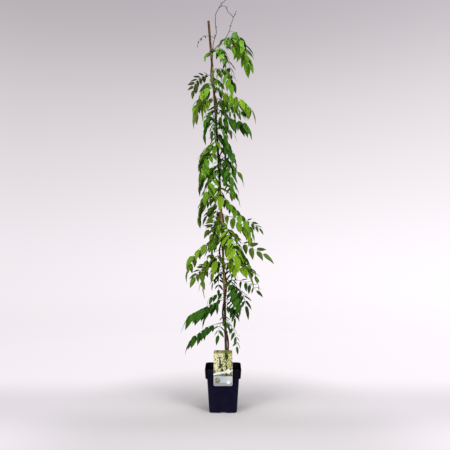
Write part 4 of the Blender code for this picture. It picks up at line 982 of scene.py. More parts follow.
def stem_radius(z):
    share = (z - STEM_FOOT) / (STEM_TOP - STEM_FOOT)
    plain = STEM_FOOT_RADIUS + (STEM_TOP_RADIUS - STEM_FOOT_RADIUS) * max(0.0, share) ** 0.8
    middle, width, swell = GRAFT
    return plain * (1 + swell * bell(z, middle, width))


def stem_center(z):
    """The stem's centre: a helix round the cane, with one loose loop, that stands plumb in the soil."""
    z = float(z)
    level = max(z, SOIL_LEVEL + PLUMB_ABOVE)
    middle, width, slack = LOOSE_LOOP
    reach = cane_radius(level) + stem_radius(level) + STEM_CANE_GAP + slack * bell(level, middle, width)
    reach += SOIL_SPREAD * bell(level, SOIL_LEVEL, 0.07)
    phase = math.tau * (level - TWINE_START) / TWINE_PITCH
    spot = cane_center(level) + reach * Vector((math.cos(phase), math.sin(phase), 0.0))
    spot.z = z
    return spot


def smooth_route(route, steps):
    """Points along a smooth curve through the route's own points (Catmull-Rom)."""
    spots = [Vector(p) for p in route]
    spots = [2 * spots[0] - spots[1], *spots, 2 * spots[-1] - spots[-2]]
    points = []
    for a, b, c, d in zip(spots, spots[1:], spots[2:], spots[3:]):
        for i in range(steps):
            t = i / steps
            points.append(0.5 * (2 * b + (c - a) * t + (2 * a - 5 * b + 4 * c - d) * t**2
                                 + (3 * b - a - 3 * c + d) * t**3))
    return points + [spots[-2]]


def along(points, share):
    """The point that is this share of the way along a list of points."""
    spot = share * (len(points) - 1)
    i = min(int(spot), len(points) - 2)
    return points[i].lerp(points[i + 1], spot - i)


# Pot and soil


def rounded_square(half, corner, z, steps=CORNER_STEPS):
    """A ring of points round a square with rounded corners."""
    ring = []
    for quarter in range(4):
        middle = math.pi / 4 + quarter * math.pi / 2
        centre = Vector((math.copysign(half - corner, math.cos(middle)),
                         math.copysign(half - corner, math.sin(middle)), z))
        for step in range(steps + 1):
            angle = quarter * math.pi / 2 + step * math.pi / 2 / steps
            ring.append(centre + corner * Vector((math.cos(angle), math.sin(angle), 0.0)))
    return ring


def pot_profile():
    """(half width, corner radius, height) up the outside of the pot."""
    collar_low = POT_HEIGHT - COLLAR_HEIGHT
    body_corner = BASE_CORNER + (RIM_CORNER - BASE_CORNER) * 0.6
    return (
        (BASE_HALF - 0.0012, BASE_CORNER, 0.0),
        (BASE_HALF, BASE_CORNER, 0.0018),
        (BODY_TOP_HALF, body_corner, collar_low - COLLAR_STEP),
        (COLLAR_LOW_HALF, RIM_CORNER, collar_low),
        (RIM_HALF, RIM_CORNER, POT_HEIGHT - LIP),
        (RIM_HALF, RIM_CORNER, POT_HEIGHT),
    )


def pot_inside(z):
    """Half width and corner radius of the pot's cavity at height z, less the gap that the soil keeps."""
    profile = pot_profile()
    half = np.interp(z, [p[2] for p in profile], [p[0] for p in profile])
    corner = np.interp(z, [p[2] for p in profile], [p[1] for p in profile])
    return float(half) - WALL - FIT_GAP, float(corner) - WALL


def closed_rings(name, rings):
    """A closed body skinned over a stack of rings, capped at both ends."""
    sides = len(rings[0])
    points = [p for ring in rings for p in ring]
    faces = ring_faces(len(rings), sides)
    faces.append(tuple(range(sides))[::-1])
    faces.append(tuple(range(len(points) - sides, len(points))))
    mesh = bpy.data.meshes.new(name)
    mesh.from_pydata([tuple(p) for p in points], [], faces)
    obj = bpy.data.objects.new(name, mesh)
    bpy.context.scene.collection.objects.link(obj)
    return obj


def arch_bar(name, inner, outer, half_width, low, high, side):
    """A bar that runs out from the middle of the pot, arched over the top: a channel or its roof."""
    outline = [(-half_width, low)]
    for hand in (-1, 1):
        for step in range(5):
            angle = math.pi / 2 * (step / 4 if hand < 0 else 1 - step / 4)
            outline.append((hand * (half_width - CHANNEL_CORNER * (1 - math.cos(angle))),
                            high - CHANNEL_CORNER * (1 - math.sin(angle))))
    outline.append((half_width, low))
    rings = [[Vector((x, across, z)) for across, z in outline] for x in (inner, outer)]
    obj = closed_rings(name, rings)
    obj.data.transform(Matrix.Rotation(side * math.pi / 2, 4, "Z"))
    return obj


def carve(body, others, operation):
    """Joins the others to the body, or cuts them from it, and takes them away."""
    tools = bpy.data.collections.new("carving")
    bpy.context.scene.collection.children.link(tools)
    for other in others:
        bpy.context.scene.collection.objects.unlink(other)
        tools.objects.link(other)
        bm = bmesh.new()
        bm.from_mesh(other.data)
        bmesh.ops.recalc_face_normals(bm, faces=bm.faces)
        bm.to_mesh(other.data)
        bm.free()
    modifier = body.modifiers.new("Carve", "BOOLEAN")
    modifier.operation = operation
    modifier.operand_type = "COLLECTION"
    modifier.collection = tools
    modifier.solver = "EXACT"
    bpy.context.view_layer.update()
    graph = bpy.context.evaluated_depsgraph_get()
    mesh = bpy.data.meshes.new_from_object(body.evaluated_get(graph))
    body.modifiers.clear()
    body.data = mesh
    for other in others:
        bpy.data.objects.remove(other)
    bpy.data.collections.remove(tools)


def build_pot():
    collar_low = POT_HEIGHT - COLLAR_HEIGHT
    base, foot, shoulder, collar, lip, rim = pot_profile()
    inward = np.array((WALL, WALL, 0.0))
    wall = [
        base, foot, shoulder, collar, lip, rim,
        np.array(rim) - inward,
        np.array((COLLAR_LOW_HALF, RIM_CORNER, collar_low + 0.0014)) - inward,
        np.array((BODY_TOP_HALF, shoulder[1], collar_low - COLLAR_STEP + 0.0014)) - inward,
        np.array((BASE_HALF, BASE_CORNER, WALL)) - inward,
        np.array((BASE_HALF - 0.006, BASE_CORNER - 0.004, WALL)) - inward,
    ]
    outside = [tuple(float(v) for v in row) for row in softened(wall, 0.0011)]
    pot = closed_rings("nursery_pot", [rounded_square(*row) for row in outside])
    roofs, channels, drains = [], [], []
    roof_half = CHANNEL_WIDTH / 2 + CHANNEL_WALL
    for side in range(4):
        roofs.append(arch_bar(f"roof_{side}", CHANNEL_INNER - CHANNEL_WALL, BASE_HALF - WALL / 2, roof_half,
                              WALL / 2, CHANNEL_HEIGHT + CHANNEL_WALL, side))
        channels.append(arch_bar(f"channel_{side}", CHANNEL_INNER, BASE_HALF + 0.01, CHANNEL_WIDTH / 2,
                                 -0.01, CHANNEL_HEIGHT, side))
        bm = bmesh.new()
        spot = Matrix.Translation((DRAIN_FROM_MIDDLE, 0.0, CHANNEL_HEIGHT))
        bmesh.ops.create_cone(bm, cap_ends=True, segments=32, radius1=DRAIN_RADIUS, radius2=DRAIN_RADIUS,
                              depth=0.012, matrix=spot)
        turn = Matrix.Rotation(side * math.pi / 2, 3, "Z")
        bmesh.ops.rotate(bm, verts=bm.verts, cent=(0, 0, 0), matrix=turn)
        mesh = bpy.data.meshes.new(f"drain_{side}")
        bm.to_mesh(mesh)
        bm.free()
        drains.append(bpy.data.objects.new(mesh.name, mesh))
        bpy.context.scene.collection.objects.link(drains[-1])
    carve(pot, roofs, "UNION")
    carve(pot, channels, "DIFFERENCE")
    carve(pot, drains, "DIFFERENCE")
    pot.data.materials.clear()
    pot.data.materials.append(pot_plastic())
    finished(pot, ["pot"], sharp=32.0)


def soil_top(x, y):
    """The lumpy height of the soil at a spot: the solid's slow waves, with clods over them."""
    wave = math.sin(74 * x + 1.3) * math.cos(91 * y - 0.6) + 0.6 * math.sin(163 * x - 140 * y)
    clods = noise.fractal(Vector((x * 130, y * 130, 3.0)), 0.9, 2.1, 4)
    return SOIL_LEVEL + SOIL_BUMP * wave / 1.6 + 0.0022 * clods


def build_soil():
    step = POT_HEIGHT - COLLAR_HEIGHT
    low_edge = SOIL_LEVEL - 1.5 * SOIL_BUMP
    rows = [(SOIL_FOOT, *pot_inside(SOIL_FOOT)), (step - COLLAR_STEP + WALL, *pot_inside(step - COLLAR_STEP)),
            (step + 0.004, *pot_inside(step + 0.004)), (low_edge, *pot_inside(low_edge))]
    rings = [rounded_square(half, corner, z) for z, half, corner in rows]
    edge, corner = pot_inside(low_edge)
    for share in np.linspace(0.985, 0.02, 34).tolist():
        ring = rounded_square(edge * share, corner * share, SOIL_LEVEL)
        for point in ring:
            point.z = soil_top(point.x, point.y)
        rings.append(ring)
    sides = len(rings[0])
    shell = Shell()
    faces = ring_faces(len(rings), sides)
    faces.append(tuple(range(sides))[::-1])
    faces.append(tuple(range((len(rings) - 1) * sides, len(rings) * sides)))
    shell.add([p for ring in rings for p in ring], faces)

    draw = random.Random("crumbs")
    lump = bmesh.new()
    bmesh.ops.create_icosphere(lump, subdivisions=2, radius=1.0)
    ball = [v.co.copy() for v in lump.verts]
    ball_faces = [tuple(v.index for v in f.verts) for f in lump.faces]
    lump.free()
    reach = edge - 0.008
    stems = (cane_center(SOIL_LEVEL), stem_center(SOIL_LEVEL))
    for number in range(CRUMBS):
        chip = number % 5 == 0
        x, y = draw.uniform(-reach, reach), draw.uniform(-reach, reach)
        size = draw.uniform(0.0030, 0.0065) if chip else draw.uniform(0.0009, 0.0030)
        if min(math.hypot(x - s.x, y - s.y) for s in stems) < 0.009 + size:
            continue
        spin = Matrix.Rotation(draw.uniform(0, math.tau), 3, "Z")
        spin = spin @ Matrix.Rotation(draw.uniform(-0.5, 0.5), 3, "X")
        broad, tall = (0.45, 0.20) if chip else (draw.uniform(0.6, 1.0), draw.uniform(0.5, 0.8))
        shape = Vector((1.0, broad, tall))
        seed = Vector((number * 3.7, 0.0, 0.0))
        points = []
        for p in ball:
            grown = p * (1.0 + 0.30 * noise.noise(p * 1.7 + seed))
            grown = spin @ Vector((grown.x * shape.x, grown.y * shape.y, grown.z * shape.z)) * size
            points.append(grown + Vector((x, y, soil_top(x, y) + 0.25 * size)))
        shell.add(points, ball_faces, finish=1 if chip else 0)
    shell.piece("potting_soil", [potting_soil(), bark_chip()], ["soil"], sharp=60.0)


# Cane, stem, shoots and ties


def build_cane():
    """The cane: a ridge with a groove under it at each joint, and a sawn hollow at the top."""
    top = CANE_FOOT + CANE_LENGTH
    heights = set(np.linspace(CANE_FOOT + 0.001, top - 0.0006, 150).tolist())
    for joint in CANE_JOINTS:
        heights |= {joint + row for row in JOINT_ROWS}
    heights = sorted(heights)

    def ridge(z):
        swell = 1.10 / 1.16 + 0.012
        for number, joint in enumerate(CANE_JOINTS):
            size = 0.9 + 0.2 * math.sin(7.0 * number)
            swell += 0.145 * size * bell(z, joint, 0.0022) - 0.055 * bell(z, joint - 0.0042, 0.0011)
            swell += 0.035 * bell(z, joint, 0.014)
        return swell

    radii = [cane_radius(z) * ridge(z) for z in heights]
    shell = Shell()

    def oval(spot, out):
        flat = 0.018 * math.cos(2 * math.atan2(out.y, out.x) + 3.0 * spot.z)
        return 1.0 + flat + 0.012 * noise.noise(spot * 60 + out)

    points = [cane_center(z) for z in heights]
    sides = 28
    last = (len(points) - 1) * sides
    skin, faces = tube(points, radii, sides=sides, bumps=oval)
    faces = [f for f in faces if len(skin) - 1 not in f]
    shell.add(skin[:-1], faces)
    edge = skin[last:last + sides]
    middle = cane_center(top)
    rings = [edge]
    for share, z in ((0.93, top), (0.46, top), (0.42, top - 0.0008), (0.40, top - 0.006)):
        rings.append([middle + (Vector(p) - points[-1]) * share + Vector((0, 0, z - middle.z)) for p in edge])
    faces = ring_faces(len(rings), sides)
    faces.append(tuple(range((len(rings) - 1) * sides, len(rings) * sides)))
    shell.add([p for ring in rings for p in ring], faces, finish=1)
    shell.piece("bamboo_cane", [bamboo(), cut_end()], ["cane"], sharp=60.0)


def bud_skin(foot, out, length, radius, scales=5):
    """A plump pointed bud with overlapping scales."""
    profile = ((-0.10, 0.50), (0.02, 0.80), (0.14, 1.05), (0.28, 1.15), (0.42, 1.08), (0.58, 0.88),
               (0.74, 0.60), (0.88, 0.32), (1.0, 0.06))
    spots = [foot + out * (length * share) + Vector((0, 0, 0.10 * length * share**2)) for share, _ in profile]
    radii = [radius * wide * (1 + 0.07 * (i % 2)) for i, (_, wide) in enumerate(profile)]
    return tube(spots, radii, sides=2 * scales)


def build_stem(roots):
    """The stem: lumpy bark, a swelling at each leaf, an old graft, and a bud in the angle of each leaf."""
    heights = np.linspace(STEM_FOOT, STEM_TOP, 520).tolist()
    nodes = [(spec, root, start) for spec, root, start in roots if spec.on == "stem"]

    def swelling(z):
        return 1.0 + 0.16 * sum(bell(z, spec.z - 0.001, 0.0045) for spec, _, _ in nodes)

    def lumps(spot, out):
        rough = 0.10 if spot.z < 0.7 else 0.06
        twist = Vector((spot.x, spot.y, spot.z * 0.35)) * 150 + out * 1.3
        return 1.0 + rough * noise.fractal(twist, 1.0, 2.0, 3)

    radii = [stem_radius(z) * swelling(z) for z in heights]
    taper = [0.86, 0.96] + [1.0] * (len(heights) - 2)
    shell = Shell()
    tapered = [r * t for r, t in zip(radii, taper)]
    shell.add(*tube([stem_center(z) for z in heights], tapered, sides=16, bumps=lumps))
    for spec, (middle, radius, _), start in nodes:
        out = (start - middle).normalized()
        side = Vector((0, 0, 1)).cross(out)
        foot = middle + out * radius * 0.8 + Vector((0, 0, 0.0034)) + side * 0.0004
        shell.add(*bud_skin(foot, (out * 0.55 + Vector((0, 0, 1))).normalized(), 0.0046, 0.00115), finish=1)
    middle = GRAFT[0]
    stub = stem_center(middle + 0.006)
    away = (stub - cane_center(middle)).normalized() * 0.8 + Vector((0, 0, 0.6))
    stub_points = [stub + away.normalized() * reach for reach in (0.0, 0.003, 0.006, 0.0088, 0.0092)]
    shell.add(*tube(stub_points, [0.0030, 0.0028, 0.0026, 0.0025, 0.0020], sides=14, bumps=lumps))
    shell.piece("woody_stem", [woody_bark(), thin_shoot()], ["stem"], sharp=60.0)


def build_shoot(name, replaced, branches):
    shell = Shell()
    for number, (route, buds) in enumerate(branches):
        points = smooth_route(route, FINE_STEPS)
        radii = np.linspace(SHOOT_RADIUS, SHOOT_TIP_RADIUS, len(points)) * (1.0 if number == 0 else 0.8)
        knots = [share for share, _, _ in buds]
        shares = np.linspace(0.0, 1.0, len(points))
        swell = [1.0 + 0.45 * sum(bell(share, knot, 0.008) for knot in knots) for share in shares]
        radii = radii * swell
        radii[-3:] *= (0.85, 0.6, 0.25)
        shell.add(*tube(points, radii, sides=12))
        for share, turn, length in buds:
            foot = along(points, share)
            out = Vector((math.cos(math.radians(turn)), math.sin(math.radians(turn)), 0.45)).normalized()
            shell.add(*bud_skin(foot, out, length, BUD_RADIUS * 0.92))
    shell.piece(name, [thin_shoot()], [replaced], sharp=60.0)


def band_outline(ends, radii, steps=5):
    """The outline of a band pulled round two circles: their outer tangents and the arcs between them."""
    (a, b), (ra, rb) = ends, radii
    line = b - a
    heading = math.atan2(line.y, line.x)
    open_angle = math.acos((ra - rb) / line.length)
    outline = []
    for centre, radius, start, sweep in (
        (b, rb, heading - open_angle, 2 * open_angle),
        (a, ra, heading + open_angle, math.tau - 2 * open_angle),
    ):
        for step in range(steps + 1):
            angle = start + sweep * step / steps
            outline.append((centre.x + radius * math.cos(angle), centre.y + radius * math.sin(angle)))
    return outline


def build_tie(number, z, knot_turn, tail, bow):
    """A soft tie: a band pulled round the cane and the stem, with a knot and two cut ends."""
    shell = Shell()
    ends = (cane_center(z), stem_center(z))
    wall = TIE_GAP + TIE_WALL / 2
    outline = band_outline(ends, (cane_radius(z) + wall, stem_radius(z) + wall), steps=16)
    path = [(x, y, z) for x, y in outline]
    shell.add(*ribbon(path, (0, 0, 1), TIE_HEIGHT, TIE_WALL, closed=True, rounding=0.95))
    turn = math.radians(knot_turn)
    facing = Vector((math.cos(turn), math.sin(turn), 0.0))
    on_band = max((Vector(p) for p in path), key=lambda p: p.dot(facing))
    side = Vector((0, 0, 1)).cross(facing)
    knot = on_band + facing * 0.0012
    loop = []
    for step in range(24):
        angle = math.tau * step / 24
        loop.append(knot + side * (0.0030 * math.cos(angle)) + Vector((0, 0, 0.0030 * math.sin(angle)))
                    + facing * (0.0010 * math.sin(2 * angle)))
    skin, faces = tube(loop + loop[:1], [0.0015] * 25, sides=10)
    shell.add(skin, faces)
    for hand, reach, slant in ((-1, 0.95, 0.50), (1, 1.0, 0.30)) if bow else ():
        tilt = Matrix.Rotation(hand * slant, 3, facing)
        out, broad = tilt @ side * hand, tilt @ Vector((0, 0, 1))
        path = []
        for step in range(21):
            angle = math.tau * step / 20
            path.append(knot + out * (bow * reach * (1 - math.cos(angle)) / 2)
                        + facing * (0.0016 + 0.0030 * math.sin(angle)))
        shell.add(*ribbon(path, broad, 0.0085 if bow > 0.01 else 0.0050, 0.0014, rounding=0.9))
        wrap = [knot + side * (0.0036 * math.cos(a)) + facing * (0.0012 + 0.0040 * math.sin(a))
                + Vector((0, 0, 0.0018 * hand)) for a in np.linspace(0.0, math.tau, 25).tolist()[:-1]]
        shell.add(*ribbon(wrap, (0, 0, 1), 0.0048, 0.0016, closed=True, rounding=0.9))
    for hand in (-1, 1):
        cut = [knot + side * hand * tail * s + Vector((0, 0, (0.10 if hand > 0 else -0.55) * tail * s**1.5))
               + facing * 0.0022 * math.sin(math.pi * s) for s in np.linspace(0.0, 1.0, 9).tolist()]
        shell.add(*ribbon(cut, (0, 0, 1), 0.0036, 0.0012, rounding=0.9))
    shell.piece(f"soft_tie_{number}", [soft_tie()], [f"tie_{number}"], sharp=50.0)


# Label


def card_depth(z):
    """How far the card's face lies along Y at height z: it bends back above the rim."""
    above = max(0.0, (z - POT_HEIGHT) / (CARD_HIGH - POT_HEIGHT))
    return CARD_FRONT + CARD_LEAN * above**1.6


def build_card():
    half = CARD_WIDTH / 2
    rows = []
    for step in range(9):
        angle = math.pi / 2 * step / 8
        inset = CARD_CORNER * (1 - math.sin(angle))
        rows.append((CARD_LOW + CARD_CORNER * (1 - math.cos(angle)), half - inset))
    rows += [(z, half) for z in np.linspace(CARD_LOW + 0.012, CARD_HIGH - CARD_CORNER, 40).tolist()]
    for step in range(7, -1, -1):
        angle = math.pi / 2 * step / 8
        inset = CARD_CORNER * (1 - math.sin(angle))
        rows.append((CARD_HIGH - CARD_CORNER * (1 - math.cos(angle)), half - inset))
    shares = np.linspace(-1.0, 1.0, 13).tolist()
    count = len(shares)
    shell = Shell()
    front, back = [], []
    for z, width in rows:
        for share in shares:
            front.append((width * share, card_depth(z), z))
            back.append((width * share, card_depth(z) + CARD_THICK, z))
    total = len(front)
    faces, finish = [], []
    for r in range(len(rows) - 1):
        for c in range(count - 1):
            a, b = r * count + c, (r + 1) * count + c
            faces.append((a, a + 1, b + 1, b))
            faces.append((total + b, total + b + 1, total + a + 1, total + a))
            finish += [0, 1]
    last = (len(rows) - 1) * count
    border = [(c, c + 1) for c in range(count - 1)]
    border += [(r * count + count - 1, (r + 1) * count + count - 1) for r in range(len(rows) - 1)]
    border += [(last + c + 1, last + c) for c in reversed(range(count - 1))]
    border += [((r + 1) * count, r * count) for r in reversed(range(len(rows) - 1))]
    for a, b in border:
        faces.append((b, a, total + a, total + b))
        finish.append(1)
    shell.add(front + back, faces, finish=finish)
    shell.piece("picture_card", [printed_card(), card_back()], ["label_card"], sharp=35.0)


def bent_path(corners, reach, steps=4):
    return [Vector(row) for row in softened(corners, reach, steps)]


def build_strap():
    """The white band round the card, and the hook behind it that sits over the pot's rim."""
    front = CARD_FRONT - FIT_GAP - STRAP_THICK / 2
    back = CARD_FRONT + CARD_THICK + FIT_GAP + STRAP_THICK / 2
    half = CARD_WIDTH / 2 + FIT_GAP + STRAP_THICK / 2
    middle = (STRAP_LOW + STRAP_HIGH) / 2
    slope = (STRAP_HIGH - STRAP_LOW) / (2 * half)
    corners = [(x, y, middle + slope * x) for x, y in
               ((0.0, front), (half, front), (half, back), (-half, back), (-half, front), (0.0, front))]
    shell = Shell()
    path = bent_path(corners, 0.0008)[:-1]
    shell.add(*ribbon(path, (0, 0, 1), STRAP_DEPTH, STRAP_THICK, closed=True, rounding=0.8))
    outer = back
    inner = -RIM_HALF + WALL + HOOK_SLACK + STRAP_THICK / 2
    top = POT_HEIGHT + FIT_GAP + STRAP_THICK / 2
    low = middle - STRAP_DEPTH / 2 + 0.001
    corners = [(0, outer, low), (0, outer, top), (0, inner, top), (0, inner, top - HOOK_REACH)]
    hook = bent_path(corners, 0.0015)
    shell.add(*ribbon(hook, (1, 0, 0), HOOK_WIDTH, STRAP_THICK, rounding=0.8))
    shell.piece("card_strap", [white_clip()], ["label_strap"], sharp=40.0)


def build_button():
    """The round press button that closes the strap: a domed face with a ring groove and a shallow dimple."""
    rise = ((0.0, 0.93), (0.12, 0.94), (0.22, 0.98), (0.30, 1.0), (0.50, 0.985), (0.62, 0.95), (0.66, 0.88),
            (0.70, 0.88), (0.74, 0.92), (0.84, 0.84), (0.93, 0.68), (0.985, 0.50), (1.0, 0.36), (0.995, 0.16),
            (0.97, 0.0), (0.0, 0.0))
    skin, faces = turned([(BUTTON_RADIUS * r, BUTTON_THICK * h) for r, h in rise])
    slope = (STRAP_HIGH - STRAP_LOW) / CARD_WIDTH
    face = CARD_FRONT - 2 * FIT_GAP - STRAP_THICK
    spot = Vector((BUTTON_X, face, (STRAP_LOW + STRAP_HIGH) / 2 + slope * BUTTON_X))
    turn = Matrix.Rotation(math.pi / 2, 3, "X")
    shell = Shell()
    shell.add([turn @ Vector(p) + spot for p in skin], [f[::-1] for f in faces])
    shell.piece("press_button", [white_clip()], ["label_button"], sharp=35.0)


# Leaves


def blade_half_width(share):
    """Half width of a leaflet, as a share of its widest, from its foot (0) to its pointed tip (1)."""
    widest = WIDEST / (WIDEST + TAPER)
    return (share**WIDEST * (1 - share) ** TAPER) / (widest**WIDEST * (1 - widest) ** TAPER)


def root_of(spec, shoots):
    """Where a leaf leaves its stem: the stem's centre and radius there, and the way to the cane or None."""
    if spec.on == "stem":
        middle = stem_center(spec.z)
        to_cane = cane_center(spec.z) - middle
        return middle, stem_radius(spec.z), math.degrees(math.atan2(to_cane.y, to_cane.x))
    middle = min(shoots[spec.on], key=lambda p: abs(p.z - spec.z))
    return middle, SHOOT_RADIUS, None


def wrapped(angle):
    return (angle + 180) % 360 - 180


def leaf_path(spec, root, turn_by, lift_by):
    """(point, tangent, side, normal) along the rachis."""
    middle, radius, to_cane = root
    draw = random.Random(spec.name)
    sway = draw.uniform(-16, 16)
    turn = spec.turn + turn_by
    start = turn
    if to_cane is not None and abs(wrapped(turn - to_cane)) < CANE_SHADE:
        start = turn + math.copysign(CANE_SHADE, wrapped(turn - to_cane)) - wrapped(turn - to_cane)
    rows = []
    for step in range(PATH_STEPS + 1):
        share = step / PATH_STEPS
        slope = math.radians(spec.rise + lift_by + (spec.fall - spec.rise) * share**spec.bend)
        heading = math.radians(turn + (start - turn) * max(0.0, 1 - share / SWING_END) + sway * share)
        level = math.cos(slope)
        tangent = Vector((level * math.cos(heading), level * math.sin(heading), math.sin(slope)))
        side = Vector((-math.sin(heading), math.cos(heading), 0.0))
        roll = Matrix.Rotation(math.radians(spec.roll) * min(1.0, 2 * share), 3, tangent)
        if rows:
            spot = rows[-1][0] + (rows[-1][1] + tangent) / 2 * (spec.reach / PATH_STEPS)
        else:
            out = Vector((math.cos(heading), math.sin(heading), 0.0))
            spot = middle + out * (radius + ROOT_CLEAR)
        side = roll @ side
        rows.append((spot, tangent, side, tangent.cross(side)))
    return rows


def path_at(rows, share):
    spot = min(max(share, 0.0), 1.0) * PATH_STEPS
    i = min(int(spot), PATH_STEPS - 1)
    return [a.lerp(b, spot - i) for a, b in zip(rows[i], rows[i + 1])]


def leaflets(spec, rows):
    """The leaflets as the solids place them: (foot, spot on the rachis, axis, wide, length, hand)."""
    draw = random.Random(spec.name + "blades")
    found = []

    def place(foot, spot, axis, along_edge, length, hand, tilt):
        axis = (axis * (1 - spec.hang) + Vector((0, 0, -spec.hang))).normalized()
        wide = (along_edge - axis * along_edge.dot(axis)).normalized()
        wide = Matrix.Rotation(math.radians(tilt + draw.uniform(-TILT_SPREAD, TILT_SPREAD)), 3, axis) @ wide
        found.append((foot, spot, axis, wide, length * draw.uniform(0.93, 1.05), hand))

    for pair in range(spec.pairs):
        middle = spec.bare + (1 - spec.bare) * pair / spec.pairs + 0.02
        spot, tangent, side, _ = path_at(rows, middle)
        share = pair / max(1, spec.pairs - 1)
        spread = math.radians(SPREAD_FOOT + (SPREAD_TIP - SPREAD_FOOT) * share)
        length = spec.blade * (0.84 + 0.16 * math.sin(math.pi * (pair + 0.8) / (spec.pairs + 0.6)))
        for hand in (0, 1):
            way = side * (1 - 2 * hand)
            axis = tangent * math.cos(spread) + way * math.sin(spread)
            place(spot + way * RACHIS_HALF, spot, axis, tangent, length, hand, TILT * (1 - 2 * hand))
    spot, tangent, side, _ = path_at(rows, 1.0)
    place(spot, spot, tangent, side, spec.blade * 1.05, 1, 0.0)
    return found


def leaf_reach(spec, root, move):
    """The corners of the box round a leaf's rachis and its leaflets' tips, for one small turn and lift."""
    rows = leaf_path(spec, root, *move)
    spots = [spot for spot, _, _, _ in rows]
    for foot, _, axis, _, length, _ in leaflets(spec, rows):
        spots.append(foot + axis * length + Vector((0, 0, -BLADE_CURL * length)))
    return np.min(spots, axis=0), np.max(spots, axis=0)


def found_move(spec, root):
    """The small turn and lift that the leaf's solid was given, found from the box that it fills."""
    low, high = (np.array(corner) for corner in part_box(spec.name))

    def miss(move):
        near, far = leaf_reach(spec, root, move)
        gaps = np.concatenate([near - low, high - far])
        return np.abs(gaps - BOX_SLACK).sum()

    return min(MOVES, key=miss)


def blade_pattern():
    """How the points of a leaflet join: the point numbers of its upper and lower face, and its faces."""
    rows, columns = len(BLADE_ROWS) - 2, len(BLADE_COLUMNS)
    upper = np.arange(rows * columns).reshape(rows, columns)
    lower = upper.copy()
    inner = rows * (columns - 2)
    lower[:, 1:-1] = rows * columns + np.arange(inner).reshape(rows, columns - 2)
    base = rows * columns + inner
    tip = base + 1
    faces, finish = [], []
    for number, sheet in enumerate((upper, lower)):
        made = []
        for c in range(columns - 1):
            made.append((base, sheet[0, c + 1], sheet[0, c]))
            made.append((tip, sheet[-1, c], sheet[-1, c + 1]))
            for r in range(rows - 1):
                made.append((sheet[r, c], sheet[r, c + 1], sheet[r + 1, c + 1], sheet[r + 1, c]))
        faces += made if number == 0 else [face[::-1] for face in made]
        finish += [number] * len(made)
    return faces, finish


def blade_points(foot, axis, wide, length, hand, full, fold, wave, phase, twist, recurve):
    """The points of one leaflet: upper face, lower face less its edges, foot and tip, with their map."""
    axis, wide = np.array(axis), np.array(wide) * (1 if hand == 0 else -1)
    up = np.cross(wide, axis)
    t = np.array(BLADE_ROWS)[:, None]
    u = np.array(BLADE_COLUMNS)[None, :]
    share = BLADE_STALK + (1 - BLADE_STALK) * t
    half = full / 2 * length * np.maximum(blade_half_width(t), 0.0)
    half = half * (1 - 0.25 * np.clip((t - 0.74) / 0.20, 0, 1) ** 1.5)
    turn = twist * t
    across = wide * np.cos(turn)[..., None] + up * np.sin(turn)[..., None]
    rising = up * np.cos(turn)[..., None] - wide * np.sin(turn)[..., None]
    lift = half * (fold * np.abs(u) - 0.55 * fold * u**2)
    ripple = np.sin(math.tau * (1.7 * t + phase + 0.31 * np.sign(u)))
    lift = lift + wave * length * ripple * u**2 * np.sqrt(half / half.max())
    lift = lift - recurve * length * np.clip(t - 0.45, 0, 1) ** 2
    spot = np.array(foot) + axis * (length * share)[..., None]
    spot = spot + np.array((0.0, 0.0, -1.0)) * (BLADE_CURL * length * share**2)[..., None]
    sheet = spot + across * (half * u * math.cos(fold))[..., None] + rising * lift[..., None]
    thick = BLADE_HALF_THICK * (1 - u**2) + 0.0 * t
    rib = MIDRIB_DEPTH * (1 - 0.75 * t) * np.exp(-((u / 0.10) ** 2))
    top = sheet + rising * (thick - 0.5 * rib)[..., None]
    under = sheet - rising * (thick + rib)[..., None]
    top[:, 0], top[:, -1] = sheet[:, 0], sheet[:, -1]
    ends = sheet[[0, -1], len(BLADE_COLUMNS) // 2]
    points = np.concatenate([top[1:-1].reshape(-1, 3), under[1:-1, 1:-1].reshape(-1, 3), ends])
    place = np.stack([(u + 1) / 2 + 0 * t, t + 0 * u], axis=-1)
    inner = place[1:-1]
    uv = np.concatenate([inner.reshape(-1, 2), inner[:, 1:-1].reshape(-1, 2), [(0.5, 0.0), (0.5, 1.0)]])
    return points, uv


def inside_frame(spot):
    sides = zip(cad_low, spot, cad_high)
    return all(low + FRAME_MARGIN < at < high - FRAME_MARGIN for low, at, high in sides)


def varied(foot, axis, wide, length, draw):
    """A leaflet's axis, width and length with the small irregular turns of a real one."""
    face = wide.cross(axis)
    swing = Matrix.Rotation(math.radians(draw.uniform(-SWING, SWING)), 3, face)
    nod = Matrix.Rotation(math.radians(draw.uniform(-NOD, NOD)), 3, wide)
    lean = Matrix.Rotation(math.radians(draw.uniform(-LEAN, LEAN)), 3, axis)
    size = draw.uniform(SMALLEST, LARGEST)
    turned_axis = swing @ nod @ axis
    tip = foot + turned_axis * (length * size) - Vector((0.0, 0.0, 0.2 * length))
    if inside_frame(tip):
        return turned_axis, swing @ lean @ wide, length * size
    return axis, lean @ wide, length * min(size, 0.97)


